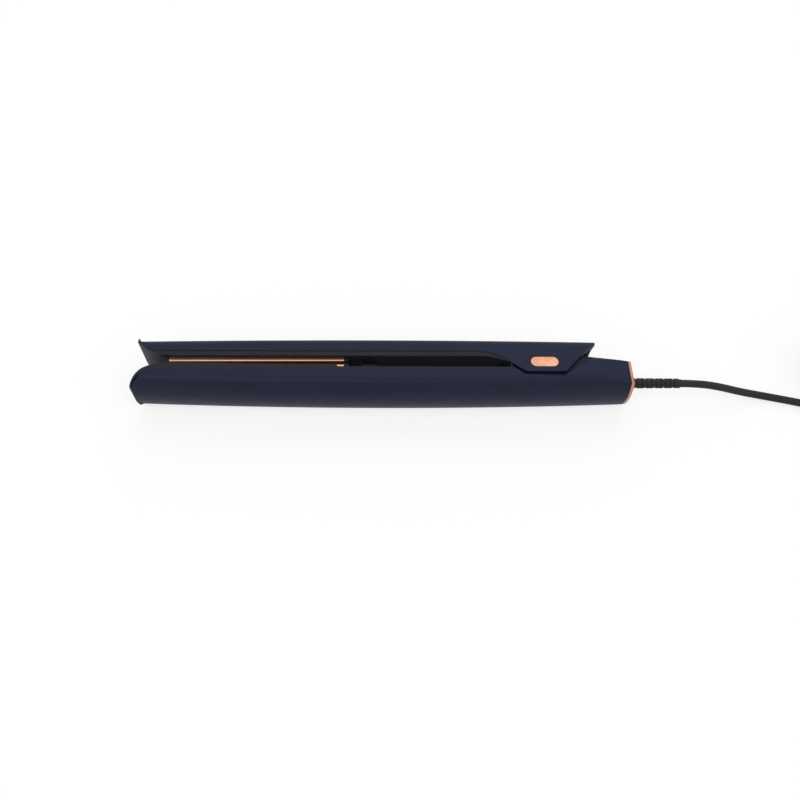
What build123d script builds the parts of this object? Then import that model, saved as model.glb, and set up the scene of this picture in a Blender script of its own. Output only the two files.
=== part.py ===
"""Hair straightener with two hinged arms, floating plates, a key pad, a lock slider and a swivel lead.

Sizes are in millimetres. The part lies on its side. "Along" runs from the tips to the lead (X), "across"
from the lower arm's back to the upper arm's back (Y), and "up" is the width of the arms (Z).
Along is counted from the shells' tips, and across from a line near the lower arm's back.
"""

from build123d import *
import math
import os

os.makedirs("parts", exist_ok=True)

# Body
BODY_LENGTH = 289.9
BODY_WIDTH = 31.0
WALL = 2.3
ARCH_RADIUS = 29.0
ARCH_CORNER = 5.0
TIP_CORNER = 9.0
TAPER_LENGTH = 17.0
TAPER_DEPTH = 3.4
LIP_REACH = 1.1
COVER_INSET = 0.3
BEYOND = 60.0

# Long crowns of the two backs, each a shallow arc over the whole length
LOWER_CROWN = -1.85
LOWER_CROWN_RADIUS = 3625.0
UPPER_CROWN = 35.45
UPPER_CROWN_RADIUS = 7000.0

# Edges of the shells and faces of the inner covers
LOWER_PARTING = 11.0
UPPER_PARTING = 23.3
TIP_EDGE_END = 12.0
LOWER_TIP = (0.5, 2.3)
UPPER_TIP = (0.8, 34.0)
LOWER_LIP = (-LIP_REACH, 2.5)
UPPER_LIP = (-0.9, 33.5)
DECK = 12.6
STEP_AHEAD = 4.2
LOWER_FACE_FRONT = 15.1
LOWER_FACE_BACK = 13.8
UPPER_FACE = 20.0
COVER_FLOOR = 1.8
SLOPE_START = 33.4
SLOPE_END = 18.9
HINGE_WALL = 1.4
HINGE_WALL_TOP = 15.2

# Hinge
PIVOT_FROM_BACK = 51.5
PIVOT_ACROSS = 16.2
OPENING_ANGLE = 13.0
PIN_DIAMETER = 4.0
RUNNING_FIT = 0.05
CHEEK_GAP = 0.5
CLEARANCE = 0.4
SPINE_WALL = 2.0
LUG_REACH = 14.0
LUG_THICKNESS = 6.0
BELLY_DROP = 6.7
BELLY_FRONT = 11.4
BELLY_BACK = 12.1
CHEEK_END = (30.9, 12.3)
CAP_LENGTH = 16.0
CAP_HEIGHT = 6.6
CAP_DEPTH = 1.25
CAP_SINK = 0.25

# Bushes and spring on the hinge pin
BUSH_DIAMETER = 7.0
BUSH_FLANGE = 9.6
BUSH_FLANGE_THICKNESS = 0.8
BUSH_SPOOL = 5.0
SPOOL_DIAMETER = 6.4
SPRING_RADIUS = 4.2
SPRING_WIRE = 1.1
SPRING_TURNS = 4
SPRING_SLACK = 0.1
FIXED_LEG_LENGTH = 9.5
MOVING_LEG_LENGTH = 36.5
SPRING_RIB_AHEAD = 35.4
SPRING_RIB_END = 24.4
SPRING_RIB_WIDTH = 5.0

# Housing behind the hinge
HOUSING_SLOPE = 7.34
HOUSING_CROWN_BEHIND = 26.6
HOUSING_CROWN = 24.3
RING_THICKNESS = 1.6
BACK_WALL = 2.0
SPINE_BEHIND = 7.6
SPRING_FLOOR_AHEAD = 5.9
SPRING_FLOOR = 2.0

# Heating plates
PLATE_START = 20.7
PLATE_LENGTH = 101.1
PLATE_INSET = 2.8
BLADE_THICKNESS = 3.2
RAIL_DEPTH = 8.6
RAIL_SPAN = 14.4
RAIL_THICKNESS = 1.6
RAIL_HOOK = 0.7
PLATE_EDGE_ROUND = 0.9
LOWER_PLATE_FACE = 17.05
UPPER_PLATE_FACE = 17.35
LOWER_TOE = 0.6
UPPER_TOE = 0.31
WINDOW_GAP = 0.3
HEATER_MARGIN = 15.5
HEATER_THICKNESS = 3.0
CLIP_MARGIN = 20.5
CLIP_THICKNESS = 0.5
END_CAP_LENGTH = 2.7
END_CAP_DEPTH = 5.0
END_CAP_TONGUE = 10.0
CAP_DOT_DIAMETER = 1.5
CAP_DOT_DEPTH = 0.5
CARRIER_WIDTH = 16.0
CARRIER_FLOOR = 1.4
CARRIER_WALL = 1.6
LOWER_CARRIER_TOP = 5.4
UPPER_CARRIER_BOTTOM = 29.0
CUSHION_LENGTH = 12.0
CUSHION_WIDTH = 14.0
CUSHION_MARGIN = 8.0

# Control pad and keys
PAD_BEHIND_PLATES = 38.2
PAD_LENGTH = 22.0
PAD_WIDTH = 15.0
PAD_HEIGHT = 3.0
PAD_BEVEL = 1.5
PAD_CORNER = 6.5
KEY_LENGTH = 4.6
KEY_WIDTH = 8.6
KEY_PITCH = 5.7
KEY_STANDS = 0.6
KEY_BEVEL = 0.3
KEY_GAP = 0.35
KEY_TRAVEL = 0.5
KEY_FLANGE = 0.4
KEY_FLANGE_THICKNESS = 0.8
PAD_ROOF = 1.4
KEY_STEM = 2.2
KEY_STEM_END = 10.7

# Boards
BOARD_BEHIND_PLATES = 18.2
BOARD_AHEAD_OF_HINGE = 34.4
BOARD_SIDE_GAP = 5.0
BOARD_AT = 5.0
BOARD_THICKNESS = 1.6
SWITCH_SIZE = 4.5
SWITCH_BODY = 2.5
SWITCH_PLUNGER = 0.8
RIB_THICKNESS = 1.6
RIB_MARGIN = 3.0
RIB_HALF = 9.0

# Display window in the upper arm's back
WINDOW_AHEAD_OF_HINGE = 14.4
WINDOW_LENGTH = 42.0
WINDOW_WIDTH = 18.8
WINDOW_THICKNESS = 1.3
WINDOW_CORNER = 3.0
WINDOW_LEDGE = 3.0
TRIM_FIT = 0.1
MODULE_WIDTH = 15.6
MODULE_THICKNESS = 2.8
MODULE_DROP = 4.4
GUIDE_GAP = 0.3

# Lock slider, its keeper, and the bumper
LOCK_AHEAD_OF_HINGE = 28.9
LOCK_LENGTH = 8.5
LOCK_WIDTH = 14.0
LOCK_TOP = 15.5
LOCK_BEVEL = 0.6
LOCK_TRAVEL = 3.5
LOCK_STEM_LENGTH = 5.0
LOCK_STEM_WIDTH = 4.0
LOCK_FOOT = 1.2
SLIDE_GAP = 0.3
KEEPER_AHEAD_OF_HINGE = 26.4
KEEPER_BOTTOM = 16.0
KEEPER_WIDTH = 12.0
BUMPER_BEHIND_PLATES = 10.0
BUMPER_WIDTH = 12.0
BUMPER_DROP = 2.7

# Screws
SCREW_HEAD = 5.0
SCREW_HEAD_HEIGHT = 1.0
SCREW_DIAMETER = 2.5
SCREW_LENGTH = 7.0
BOSS_DIAMETER = 6.0
LOWER_SCREW_BEHIND_PLATES = 11.2
UPPER_SCREW_BEHIND_PLATES = 28.2
UPPER_SCREW_AHEAD_OF_HINGE = 46.4
HOUSING_SCREW_AHEAD_OF_HINGE = 9.4

# Lead, its swivel and its plug
CORD_DIAMETER = 4.6
COLLAR_DIAMETER = 12.4
COLLAR_LENGTH = 1.5
COLLAR_GAP = 0.3
BARREL_DIAMETER = 8.8
BARREL_FLANGE = 11.6
BARREL_FLANGE_LENGTH = 3.4
RELIEF_LENGTH = 30.0
RELIEF_ROOT = 6.2
RELIEF_END = 5.7
RELIEF_BORE_DEPTH = 6.0
RELIEF_SIDES = 16
HANK_BEHIND = 109.3
HANK_MIDDLE = 23.0
HANK_RUN = 72.0
HANK_INNER_RADIUS = 13.8
HANK_STEP = 5.7
HANK_LAYERS = 4
HANK_STEPS_IN = 3
HANK_WAIST = 8.5
HANK_PLUG_SIDE = 7.0
TIE_THICKNESS = 0.8
TIE_WIDTH = 10.0
TIE_GAP = 0.05
PLUG_LENGTH = 36.0
PLUG_WIDTH = 35.3
PLUG_NECK = 12.0
PLUG_SHOULDER = 20.0
PLUG_THICKNESS = 13.7
PLUG_EDGE = 3.0
PLUG_PIN_DIAMETER = 4.0
PLUG_PIN_LENGTH = 19.0
PLUG_PIN_SPAN = 18.6
PLUG_PIN_BEVEL = 1.0

# Places that follow from the sizes above
CROWN_MIDDLE = BODY_LENGTH / 2
PIVOT_ALONG = BODY_LENGTH - PIVOT_FROM_BACK
HOUSING_CROWN_AT = PIVOT_ALONG + HOUSING_CROWN_BEHIND
SPINE_BACK = PIVOT_ALONG + SPINE_BEHIND
SPRING_FLOOR_END = PIVOT_ALONG - SPRING_FLOOR_AHEAD
SPRING_RIB_AT = PIVOT_ALONG - SPRING_RIB_AHEAD
HOUSING_BACK = BODY_LENGTH - RING_THICKNESS
CHEEK_END_AT = PIVOT_ALONG + CHEEK_END[0]
POCKET_DEPTH = WALL + CHEEK_GAP
SPINE_INSET = POCKET_DEPTH + SPINE_WALL
PLATE_END = PLATE_START + PLATE_LENGTH
PLATE_WIDTH = BODY_WIDTH - 2 * PLATE_INSET
HEATER_LENGTH = PLATE_LENGTH - 2 * HEATER_MARGIN
CLIP_LENGTH = PLATE_LENGTH - 2 * CLIP_MARGIN
STEP_AT = PLATE_END - STEP_AHEAD
BUMPER_FRONT = PLATE_END + BUMPER_BEHIND_PLATES
PAD_AT = PLATE_END + PAD_BEHIND_PLATES
BOARD_FRONT = PLATE_END + BOARD_BEHIND_PLATES
BOARD_BACK = PIVOT_ALONG - BOARD_AHEAD_OF_HINGE
BOARD_WIDTH = BODY_WIDTH - 2 * BOARD_SIDE_GAP
WINDOW_MIDDLE = PIVOT_ALONG - WINDOW_AHEAD_OF_HINGE
LOCK_FRONT = PIVOT_ALONG - LOCK_AHEAD_OF_HINGE
KEEPER_FRONT = PIVOT_ALONG - KEEPER_AHEAD_OF_HINGE
LOWER_SCREWS_AT = (
    PLATE_END + LOWER_SCREW_BEHIND_PLATES,
    (PAD_AT + PAD_LENGTH / 2 + LOCK_FRONT - LOCK_TRAVEL) / 2,
)
UPPER_SCREWS_AT = (
    PLATE_END + UPPER_SCREW_BEHIND_PLATES,
    PIVOT_ALONG - UPPER_SCREW_AHEAD_OF_HINGE,
)
HOUSING_SCREW_AT = PIVOT_ALONG - HOUSING_SCREW_AHEAD_OF_HINGE
OPENING_START = PLATE_START - END_CAP_LENGTH - WINDOW_GAP
OPENING_END = PLATE_END + END_CAP_LENGTH + WINDOW_GAP
COLLAR_START = BODY_LENGTH + COLLAR_GAP
COLLAR_END = COLLAR_START + COLLAR_LENGTH
RELIEF_TIP = COLLAR_END + RELIEF_LENGTH
HANK_START = RELIEF_TIP + HANK_BEHIND
CORD_RADIUS = CORD_DIAMETER / 2
HALF_WIDTH = BODY_WIDTH / 2
MIDDLE_ALONG = (COLLAR_END - LIP_REACH) / 2
MIDDLE_ACROSS = (UPPER_CROWN + LOWER_CROWN) / 2


def place(along, across, up=HALF_WIDTH):
    """Point of the finished part for a place along, across and up."""
    return Vector(along - MIDDLE_ALONG, across - MIDDLE_ACROSS, up)


def side_plane(up):
    """Sketch plane that looks at the part's side, with along and across as its axes."""
    return Plane(origin=place(0, 0, up), x_dir=(1, 0, 0), z_dir=(0, 0, 1))


def deck_plane(across):
    """Sketch plane parallel to the decks: along, and sideways from the part's middle."""
    return Plane(origin=place(0, across), x_dir=(1, 0, 0), z_dir=(0, 1, 0))


def end_plane(along, across=0.0):
    """Sketch plane square to the length: across, and sideways from the part's middle."""
    return Plane(origin=place(along, across), x_dir=(0, 1, 0), z_dir=(1, 0, 0))


def finish(piece, name):
    """Give a finished piece its name and write it."""
    piece.part.label = name
    export_step(piece.part, f"parts/{name}.step")


def block(along, across, sideways):
    """Plain block from ranges along, across and sideways from the middle."""
    with BuildPart() as made:
        with BuildSketch(deck_plane(across[0])):
            with Locations(((along[0] + along[1]) / 2, 0)):
                Rectangle(along[1] - along[0], sideways[1] - sideways[0])
        extrude(amount=across[1] - across[0])
    shift = (sideways[0] + sideways[1]) / 2
    return made.part.translate((0, 0, shift))


def arch_section(crown, side_inset=0.0, back_inset=0.0):
    """Section with flat sides and an arched back, whose highest point is at the crown."""
    half = HALF_WIDTH - side_inset
    top = crown - back_inset
    radius = ARCH_RADIUS - back_inset
    shoulder = top - radius + math.sqrt(radius**2 - half**2)
    with BuildSketch() as section:
        with BuildLine():
            arch = ThreePointArc((shoulder, -half), (top, 0), (shoulder, half))
            Polyline(arch @ 1, (crown - BEYOND / 2, half), (crown - BEYOND / 2, -half), arch @ 0)
        make_face()
        fillet(
            vertices().group_by(Axis.X)[-1],
            ARCH_CORNER - min(side_inset, back_inset),
        )
    return section.sketch


def arched_form(crown, crown_radius, way, side_inset=0.0, back_inset=0.0):
    """Bar with flat sides and an arched back, bent to the long crown of one arm.

    way is +1 for the upper arm, whose back faces up the sheet, and -1 for the lower arm."""
    turn = CROWN_MIDDLE * 1.1 / crown_radius
    centre = place(CROWN_MIDDLE, crown - way * crown_radius)
    start = Plane(
        origin=centre,
        x_dir=(-math.sin(turn), way * math.cos(turn), 0),
        z_dir=(math.cos(turn), way * math.sin(turn), 0),
    )
    with BuildPart() as made:
        with BuildSketch(start):
            add(arch_section(crown_radius, side_inset, back_inset))
        revolve(axis=Axis(centre, (0, 0, -way)), revolution_arc=math.degrees(2 * turn))
    return made.part


def lower_form(side_inset=0.0, back_inset=0.0):
    """Outer form of the lower arm, or the same form set in."""
    return arched_form(LOWER_CROWN, LOWER_CROWN_RADIUS, -1, side_inset, back_inset)


def upper_form(side_inset=0.0, back_inset=0.0):
    """Outer form of the upper arm, or the same form set in."""
    return arched_form(UPPER_CROWN, UPPER_CROWN_RADIUS, 1, side_inset, back_inset)


def housing_form(side_inset=0.0, back_inset=0.0):
    """Outer form of the housing behind the hinge: a straight arch that falls towards the lead."""
    slope = math.radians(HOUSING_SLOPE)
    ahead = 60.0
    start = Plane(
        origin=place(HOUSING_CROWN_AT - ahead, HOUSING_CROWN + ahead * math.tan(slope)),
        x_dir=(math.sin(slope), math.cos(slope), 0),
        z_dir=(math.cos(slope), -math.sin(slope), 0),
    )
    with BuildPart() as made:
        with BuildSketch(start):
            add(arch_section(0, side_inset, back_inset))
        extrude(amount=ahead * 2)
    return made.part


def plan_form(tip, inset):
    """Outline seen from a back, as a tall block: round at the tip and drawn in towards the lead."""
    half = HALF_WIDTH - inset
    end = HOUSING_BACK + TAPER_LENGTH
    with BuildPart() as made:
        with BuildSketch(deck_plane(-BEYOND)):
            with BuildLine():
                Polyline(
                    (tip, -half),
                    (HOUSING_BACK - TAPER_LENGTH, -half),
                    (end, -half + 2 * TAPER_DEPTH),
                    (end, half - 2 * TAPER_DEPTH),
                    (HOUSING_BACK - TAPER_LENGTH, half),
                    (tip, half),
                    close=True,
                )
            make_face()
            corners = vertices().group_by(Axis.X)[0]
            fillet(corners, TIP_CORNER - inset)
        extrude(amount=3 * BEYOND)
    return made.part


def swung(along, across):
    """Where a place of the upper arm, counted from the pivot, comes when the arms are fully open."""
    turn = math.radians(OPENING_ANGLE)
    return (
        PIVOT_ALONG + along * math.cos(turn) + across * math.sin(turn),
        PIVOT_ACROSS - along * math.sin(turn) + across * math.cos(turn),
    )


def lower_outline():
    """Side view of the lower shell, below its edge."""
    with BuildSketch() as outline:
        with BuildLine():
            tip = ThreePointArc(LOWER_TIP, (4.5, 6.65), (TIP_EDGE_END, LOWER_PARTING))
            Polyline(
                tip @ 1,
                (HOUSING_BACK, LOWER_PARTING),
                (HOUSING_BACK, -BEYOND),
                (LOWER_TIP[0], -BEYOND),
                tip @ 0,
            )
        make_face()
    return outline.sketch


def upper_outline():
    """Side view of the upper shell, above its edge, with the cheek that covers the hinge."""
    with BuildSketch() as outline:
        with BuildLine():
            tip = ThreePointArc(UPPER_TIP, (5.0, 28.3), (TIP_EDGE_END, UPPER_PARTING))
            edge = FilletPolyline(
                tip @ 1,
                (PIVOT_ALONG - SLOPE_START, UPPER_PARTING),
                (PIVOT_ALONG - 23.4, PIVOT_ACROSS + 2.6),
                (PIVOT_ALONG - BELLY_FRONT, PIVOT_ACROSS - BELLY_DROP),
                (PIVOT_ALONG + BELLY_BACK, PIVOT_ACROSS - BELLY_DROP),
                radius=[20.0, 12.0, 3.0],
            )
            back = ThreePointArc(
                edge @ 1,
                (PIVOT_ALONG + 22.1, PIVOT_ACROSS + 4.5),
                (CHEEK_END_AT, PIVOT_ACROSS + CHEEK_END[1]),
            )
            Polyline(
                back @ 1,
                (CHEEK_END_AT + 0.5, UPPER_CROWN),
                (CHEEK_END_AT + 0.5, BEYOND),
                (UPPER_TIP[0], BEYOND),
                tip @ 0,
            )
        make_face()
        belly_corner = vertices().sort_by_distance(
            (PIVOT_ALONG + BELLY_BACK, PIVOT_ACROSS - BELLY_DROP)
        )[0]
        fillet(belly_corner, 1.5)
    return outline.sketch


def lower_cover_outline():
    """Side view of the lower inner cover: the lip, the face round the plate, the step and the deck."""
    cover_end = PIVOT_ALONG - LUG_REACH
    with BuildSketch() as outline:
        with BuildLine():
            lip = ThreePointArc(LOWER_LIP, (5.5, 10.4), (18.5, 14.4))
            Polyline(
                lip @ 1,
                (PLATE_START + 1.3, LOWER_FACE_FRONT),
                (STEP_AT, LOWER_FACE_BACK),
                (STEP_AT + 1.0, DECK),
                (cover_end, DECK),
                (cover_end, LOWER_PARTING - 3),
                (TIP_EDGE_END, LOWER_PARTING - 3),
                LOWER_TIP,
                lip @ 0,
            )
        make_face()
        add(lower_outline(), mode=Mode.SUBTRACT)
    return outline.sketch


def upper_cover_region():
    """Everything behind the upper arm's inner face, from the lip to the foot of the slope."""
    with BuildSketch() as outline:
        with BuildLine():
            lip = ThreePointArc(UPPER_LIP, (6.0, 25.3), (19.0, 20.4))
            face = FilletPolyline(
                lip @ 1,
                (PLATE_START + 1.3, UPPER_FACE),
                (PIVOT_ALONG - SLOPE_START + 1, UPPER_FACE),
                (PIVOT_ALONG - 23.4, PIVOT_ACROSS + 1.1),
                (PIVOT_ALONG - SLOPE_END, PIVOT_ACROSS - 0.6),
                radius=[2.0, 12.0, 3.0],
            )
            Polyline(
                face @ 1,
                (PIVOT_ALONG - SLOPE_END, UPPER_CROWN - 2 * WALL),
                (TIP_EDGE_END, UPPER_CROWN - 2 * WALL),
                UPPER_TIP,
                lip @ 0,
            )
        make_face()
    return outline.sketch


def upper_cover_outline():
    """Side view of the upper inner cover: the band between the inner face and the shell's edge."""
    with BuildSketch() as outline:
        add(upper_cover_region())
        add(upper_outline(), mode=Mode.SUBTRACT)
    return outline.sketch


def side_prism(outline, low, high):
    """A side view given its thickness, from one height to another."""
    with BuildPart() as made:
        with BuildSketch(side_plane(low)):
            add(outline)
        extrude(amount=high - low)
    return made.part


def hinge_pockets():
    """Room in both sides of the lower arm for the cheeks, from closed to fully open."""
    drop = swung(BELLY_BACK, -BELLY_DROP)
    middle = swung(22.1, 4.5)
    end = swung(*CHEEK_END)
    floor = drop[1] - CLEARANCE
    slack = 2.1
    with BuildSketch() as outline:
        with BuildLine():
            back = ThreePointArc(
                (drop[0] + CLEARANCE, floor),
                (middle[0] + CLEARANCE, middle[1] - CLEARANCE),
                (end[0] + CLEARANCE, end[1] - CLEARANCE),
            )
            Polyline(
                back @ 1,
                (back @ 1) + Vector(3.0, BEYOND / 4),
                (PIVOT_ALONG - 19.0, PIVOT_ACROSS + BEYOND / 4),
                (PIVOT_ALONG - 19.0, PIVOT_ACROSS - 3.1),
                (PIVOT_ALONG - BELLY_FRONT - 0.5, PIVOT_ACROSS - BELLY_DROP - slack),
                back @ 0,
            )
        make_face()
    with BuildPart() as made:
        for low in (-1.0, BODY_WIDTH - POCKET_DEPTH):
            add(side_prism(outline.sketch, low, low + POCKET_DEPTH + 1.0))
    return made.part


def boss(along, start, end, diameter=BOSS_DIAMETER, sideways=0.0):
    """Round post between two places across."""
    with BuildPart() as made:
        with BuildSketch(deck_plane(start)):
            with Locations((along, sideways)):
                Circle(diameter / 2)
        extrude(amount=end - start)
    return made.part


def screw(along, seat, way):
    """Screw whose head sits on the seat; way is the side that its head faces across."""
    head = boss(along, seat, seat + way * SCREW_HEAD_HEIGHT, SCREW_HEAD)
    shank = boss(along, seat - way * SCREW_LENGTH, seat, SCREW_DIAMETER)
    return head, shank


pockets = hinge_pockets()
swivel_bore = Cylinder(
    BARREL_DIAMETER / 2 + RUNNING_FIT, 30, rotation=(0, 90, 0), mode=Mode.PRIVATE
).translate(place(BODY_LENGTH, LOWER_PARTING))
lower_screw_seat = DECK - SCREW_HEAD_HEIGHT
upper_screw_seat = UPPER_FACE + SCREW_HEAD_HEIGHT
housing_screw_seat = LOWER_PARTING + SPRING_FLOOR - SCREW_HEAD_HEIGHT

# Lower shell
with BuildPart() as lower_hollow:
    add(lower_form(WALL, WALL))
    add(plan_form(LOWER_TIP[0] + WALL, WALL), mode=Mode.INTERSECT)
    add(
        block((-BEYOND, HOUSING_BACK - BACK_WALL), (-BEYOND, BEYOND), (-BEYOND, BEYOND)),
        mode=Mode.INTERSECT,
    )
    spine_front = PIVOT_ALONG - 22
    spine_back = CHEEK_END_AT + 4
    for side in (-1, 1):
        wall = sorted((side * (HALF_WIDTH - SPINE_INSET), side * HALF_WIDTH))
        add(block((spine_front, spine_back), (-BEYOND, BEYOND), wall), mode=Mode.SUBTRACT)
    for along in LOWER_SCREWS_AT:
        add(boss(along, LOWER_CROWN, LOWER_PARTING - 1.0), mode=Mode.SUBTRACT)
    add(boss(HOUSING_SCREW_AT, LOWER_CROWN, LOWER_PARTING), mode=Mode.SUBTRACT)
    for along in (BOARD_FRONT + RIB_MARGIN, BOARD_BACK - RIB_MARGIN - RIB_THICKNESS):
        rib = block((along, along + RIB_THICKNESS), (LOWER_CROWN, BOARD_AT), (-RIB_HALF, RIB_HALF))
        add(rib, mode=Mode.SUBTRACT)

with BuildPart() as lower_shell:
    add(lower_form())
    add(side_prism(lower_outline(), 0, BODY_WIDTH), mode=Mode.INTERSECT)
    add(plan_form(LOWER_TIP[0], 0), mode=Mode.INTERSECT)
    add(lower_hollow.part, mode=Mode.SUBTRACT)
    add(pockets, mode=Mode.SUBTRACT)
    for along, seat in (
        (LOWER_SCREWS_AT[0], lower_screw_seat),
        (LOWER_SCREWS_AT[1], lower_screw_seat),
        (HOUSING_SCREW_AT, housing_screw_seat),
    ):
        add(boss(along, seat - SCREW_LENGTH, seat, SCREW_DIAMETER), mode=Mode.SUBTRACT)
    add(swivel_bore, mode=Mode.SUBTRACT)
finish(lower_shell, "lower_shell")

# Lower inner cover
pad_opening_length = 2 * KEY_PITCH + KEY_LENGTH + 2 * KEY_GAP + 2 * KEY_FLANGE
pad_opening_width = KEY_WIDTH + 2 * KEY_GAP + 2 * KEY_FLANGE
slot_front = LOCK_FRONT + (LOCK_LENGTH - LOCK_STEM_LENGTH) / 2 - LOCK_TRAVEL - SLIDE_GAP
slot_back = LOCK_FRONT + (LOCK_LENGTH + LOCK_STEM_LENGTH) / 2 + SLIDE_GAP
window_half = PLATE_WIDTH / 2 + WINDOW_GAP

with BuildPart() as lower_inner_cover:
    add(side_prism(lower_cover_outline(), COVER_INSET, BODY_WIDTH - COVER_INSET))
    add(plan_form(-LIP_REACH, COVER_INSET), mode=Mode.INTERSECT)
    for along in LOWER_SCREWS_AT:
        add(boss(along, LOWER_PARTING - 1.0, LOWER_PARTING, BOSS_DIAMETER + 2))
    for side in (-1, 1):
        rail = sorted((side * (HALF_WIDTH - WALL - 0.15), side * (HALF_WIDTH - WALL - 1.35)))
        add(block((OPENING_END + 4, PIVOT_ALONG - 24), (LOWER_PARTING - 2.4, LOWER_PARTING), rail))
    with BuildSketch(deck_plane(0)):
        with Locations(((OPENING_START + OPENING_END) / 2, 0)):
            Rectangle(OPENING_END - OPENING_START, 2 * window_half)
        with Locations((PAD_AT, 0)):
            Rectangle(pad_opening_length, pad_opening_width)
        with Locations(((slot_front + slot_back) / 2, 0)):
            Rectangle(slot_back - slot_front, LOCK_STEM_WIDTH + 2 * SLIDE_GAP)
    extrude(amount=BEYOND, mode=Mode.SUBTRACT)
    for along in LOWER_SCREWS_AT:
        add(boss(along, 0, DECK + 1, SCREW_DIAMETER), mode=Mode.SUBTRACT)
        add(boss(along, lower_screw_seat, DECK + 1, SCREW_HEAD + 0.4), mode=Mode.SUBTRACT)
    wall_start = PIVOT_ALONG - SLOPE_END - HINGE_WALL / 2
    inner_half = HALF_WIDTH - COVER_INSET
    add(
        block(
            (wall_start, wall_start + HINGE_WALL),
            (LOWER_PARTING, HINGE_WALL_TOP),
            (-inner_half, inner_half),
        )
    )
    add(pockets, mode=Mode.SUBTRACT)
finish(lower_inner_cover, "lower_inner_cover")

# Rear cover: the upper half of the housing, whose two lugs carry the hinge pin
lug_face = HALF_WIDTH - POCKET_DEPTH
lug_inner = lug_face - LUG_THICKNESS
spring_low = HALF_WIDTH - lug_inner + BUSH_FLANGE_THICKNESS + SPRING_WIRE
spring_high = BODY_WIDTH - spring_low

with BuildSketch() as rear_outline:
    with Locations((PIVOT_ALONG, PIVOT_ACROSS)):
        Circle(LUG_REACH - CLEARANCE)
    with Locations((PIVOT_ALONG, LOWER_PARTING)):
        Rectangle(HOUSING_BACK - PIVOT_ALONG, BEYOND, align=(Align.MIN, Align.MIN))
        Rectangle(BEYOND, BEYOND, align=(Align.CENTER, Align.MAX), mode=Mode.SUBTRACT)

with BuildPart() as rear_hollow:
    add(housing_form(SPINE_INSET, WALL))
    hollow_start = SPINE_BACK + SPINE_WALL
    hollow_end = HOUSING_BACK - BACK_WALL
    add(
        block((hollow_start, hollow_end), (-BEYOND, BEYOND), (-BEYOND, BEYOND)),
        mode=Mode.INTERSECT,
    )

with BuildPart() as rear_cover:
    add(housing_form())
    add(side_prism(rear_outline.sketch, 0, BODY_WIDTH), mode=Mode.INTERSECT)
    add(plan_form(LOWER_TIP[0], 0), mode=Mode.INTERSECT)
    add(rear_hollow.part, mode=Mode.SUBTRACT)
    add(pockets, mode=Mode.SUBTRACT)
    add(
        block((PIVOT_ALONG - BEYOND, SPINE_BACK), (0, BEYOND), (-lug_inner, lug_inner)),
        mode=Mode.SUBTRACT,
    )
    floor_front = PIVOT_ALONG - LUG_REACH + CLEARANCE + 1.0
    add(
        block(
            (floor_front, SPRING_FLOOR_END),
            (LOWER_PARTING, LOWER_PARTING + SPRING_FLOOR),
            (-lug_inner, lug_inner),
        )
    )
    add(boss(HOUSING_SCREW_AT, 0, BEYOND, SCREW_DIAMETER), mode=Mode.SUBTRACT)
    add(boss(HOUSING_SCREW_AT, housing_screw_seat, BEYOND, SCREW_HEAD + 0.4), mode=Mode.SUBTRACT)
    with BuildSketch(side_plane(0)):
        with Locations((PIVOT_ALONG, PIVOT_ACROSS)):
            Circle(BUSH_DIAMETER / 2)
    extrude(amount=BODY_WIDTH, mode=Mode.SUBTRACT)
    add(swivel_bore, mode=Mode.SUBTRACT)
finish(rear_cover, "rear_cover")

# End ring that grips the shell and the cover at the back
with BuildPart() as end_ring:
    add(lower_form())
    add(
        block((0, BEYOND * 9), (-BEYOND, LOWER_PARTING), (-BEYOND, BEYOND)),
        mode=Mode.INTERSECT,
    )
    with BuildPart(mode=Mode.PRIVATE) as ring_top:
        add(housing_form())
        add(
            block((0, BEYOND * 9), (LOWER_PARTING, BEYOND), (-BEYOND, BEYOND)),
            mode=Mode.INTERSECT,
        )
    add(ring_top.part)
    add(
        block((HOUSING_BACK, BODY_LENGTH), (-BEYOND, BEYOND), (-BEYOND, BEYOND)),
        mode=Mode.INTERSECT,
    )
    add(plan_form(LOWER_TIP[0], 0), mode=Mode.INTERSECT)
    add(swivel_bore, mode=Mode.SUBTRACT)
finish(end_ring, "end_ring")

# Upper shell, with its two cheeks
with BuildPart() as upper_hollow:
    add(upper_form(WALL, WALL))
    add(plan_form(UPPER_TIP[0] + WALL, WALL), mode=Mode.INTERSECT)
    add(
        block((-BEYOND, CHEEK_END_AT + 0.5 - WALL), (-BEYOND, BEYOND), (-BEYOND, BEYOND)),
        mode=Mode.INTERSECT,
    )
    for along in UPPER_SCREWS_AT:
        add(boss(along, UPPER_FACE + COVER_FLOOR, UPPER_CROWN), mode=Mode.SUBTRACT)
    spring_side = spring_high - HALF_WIDTH
    add(
        block(
            (SPRING_RIB_AT, SPRING_RIB_AT + RIB_THICKNESS),
            (SPRING_RIB_END, UPPER_CROWN),
            (spring_side - SPRING_RIB_WIDTH / 2, spring_side + SPRING_RIB_WIDTH / 2),
        ),
        mode=Mode.SUBTRACT,
    )

window_outer = upper_form()
window_inner = upper_form(0, WINDOW_THICKNESS)


def window_form(margin):
    """Rounded rectangle of the display window, as a tall block, with a margin all round."""
    with BuildPart() as made:
        with BuildSketch(deck_plane(UPPER_FACE)):
            with Locations((WINDOW_MIDDLE, 0)):
                RectangleRounded(
                    WINDOW_LENGTH + 2 * margin, WINDOW_WIDTH + 2 * margin, WINDOW_CORNER
                )
        extrude(amount=BEYOND)
    return made.part


with BuildPart() as window_pocket:
    add(window_form(TRIM_FIT))
    add(window_inner, mode=Mode.SUBTRACT)

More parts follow.
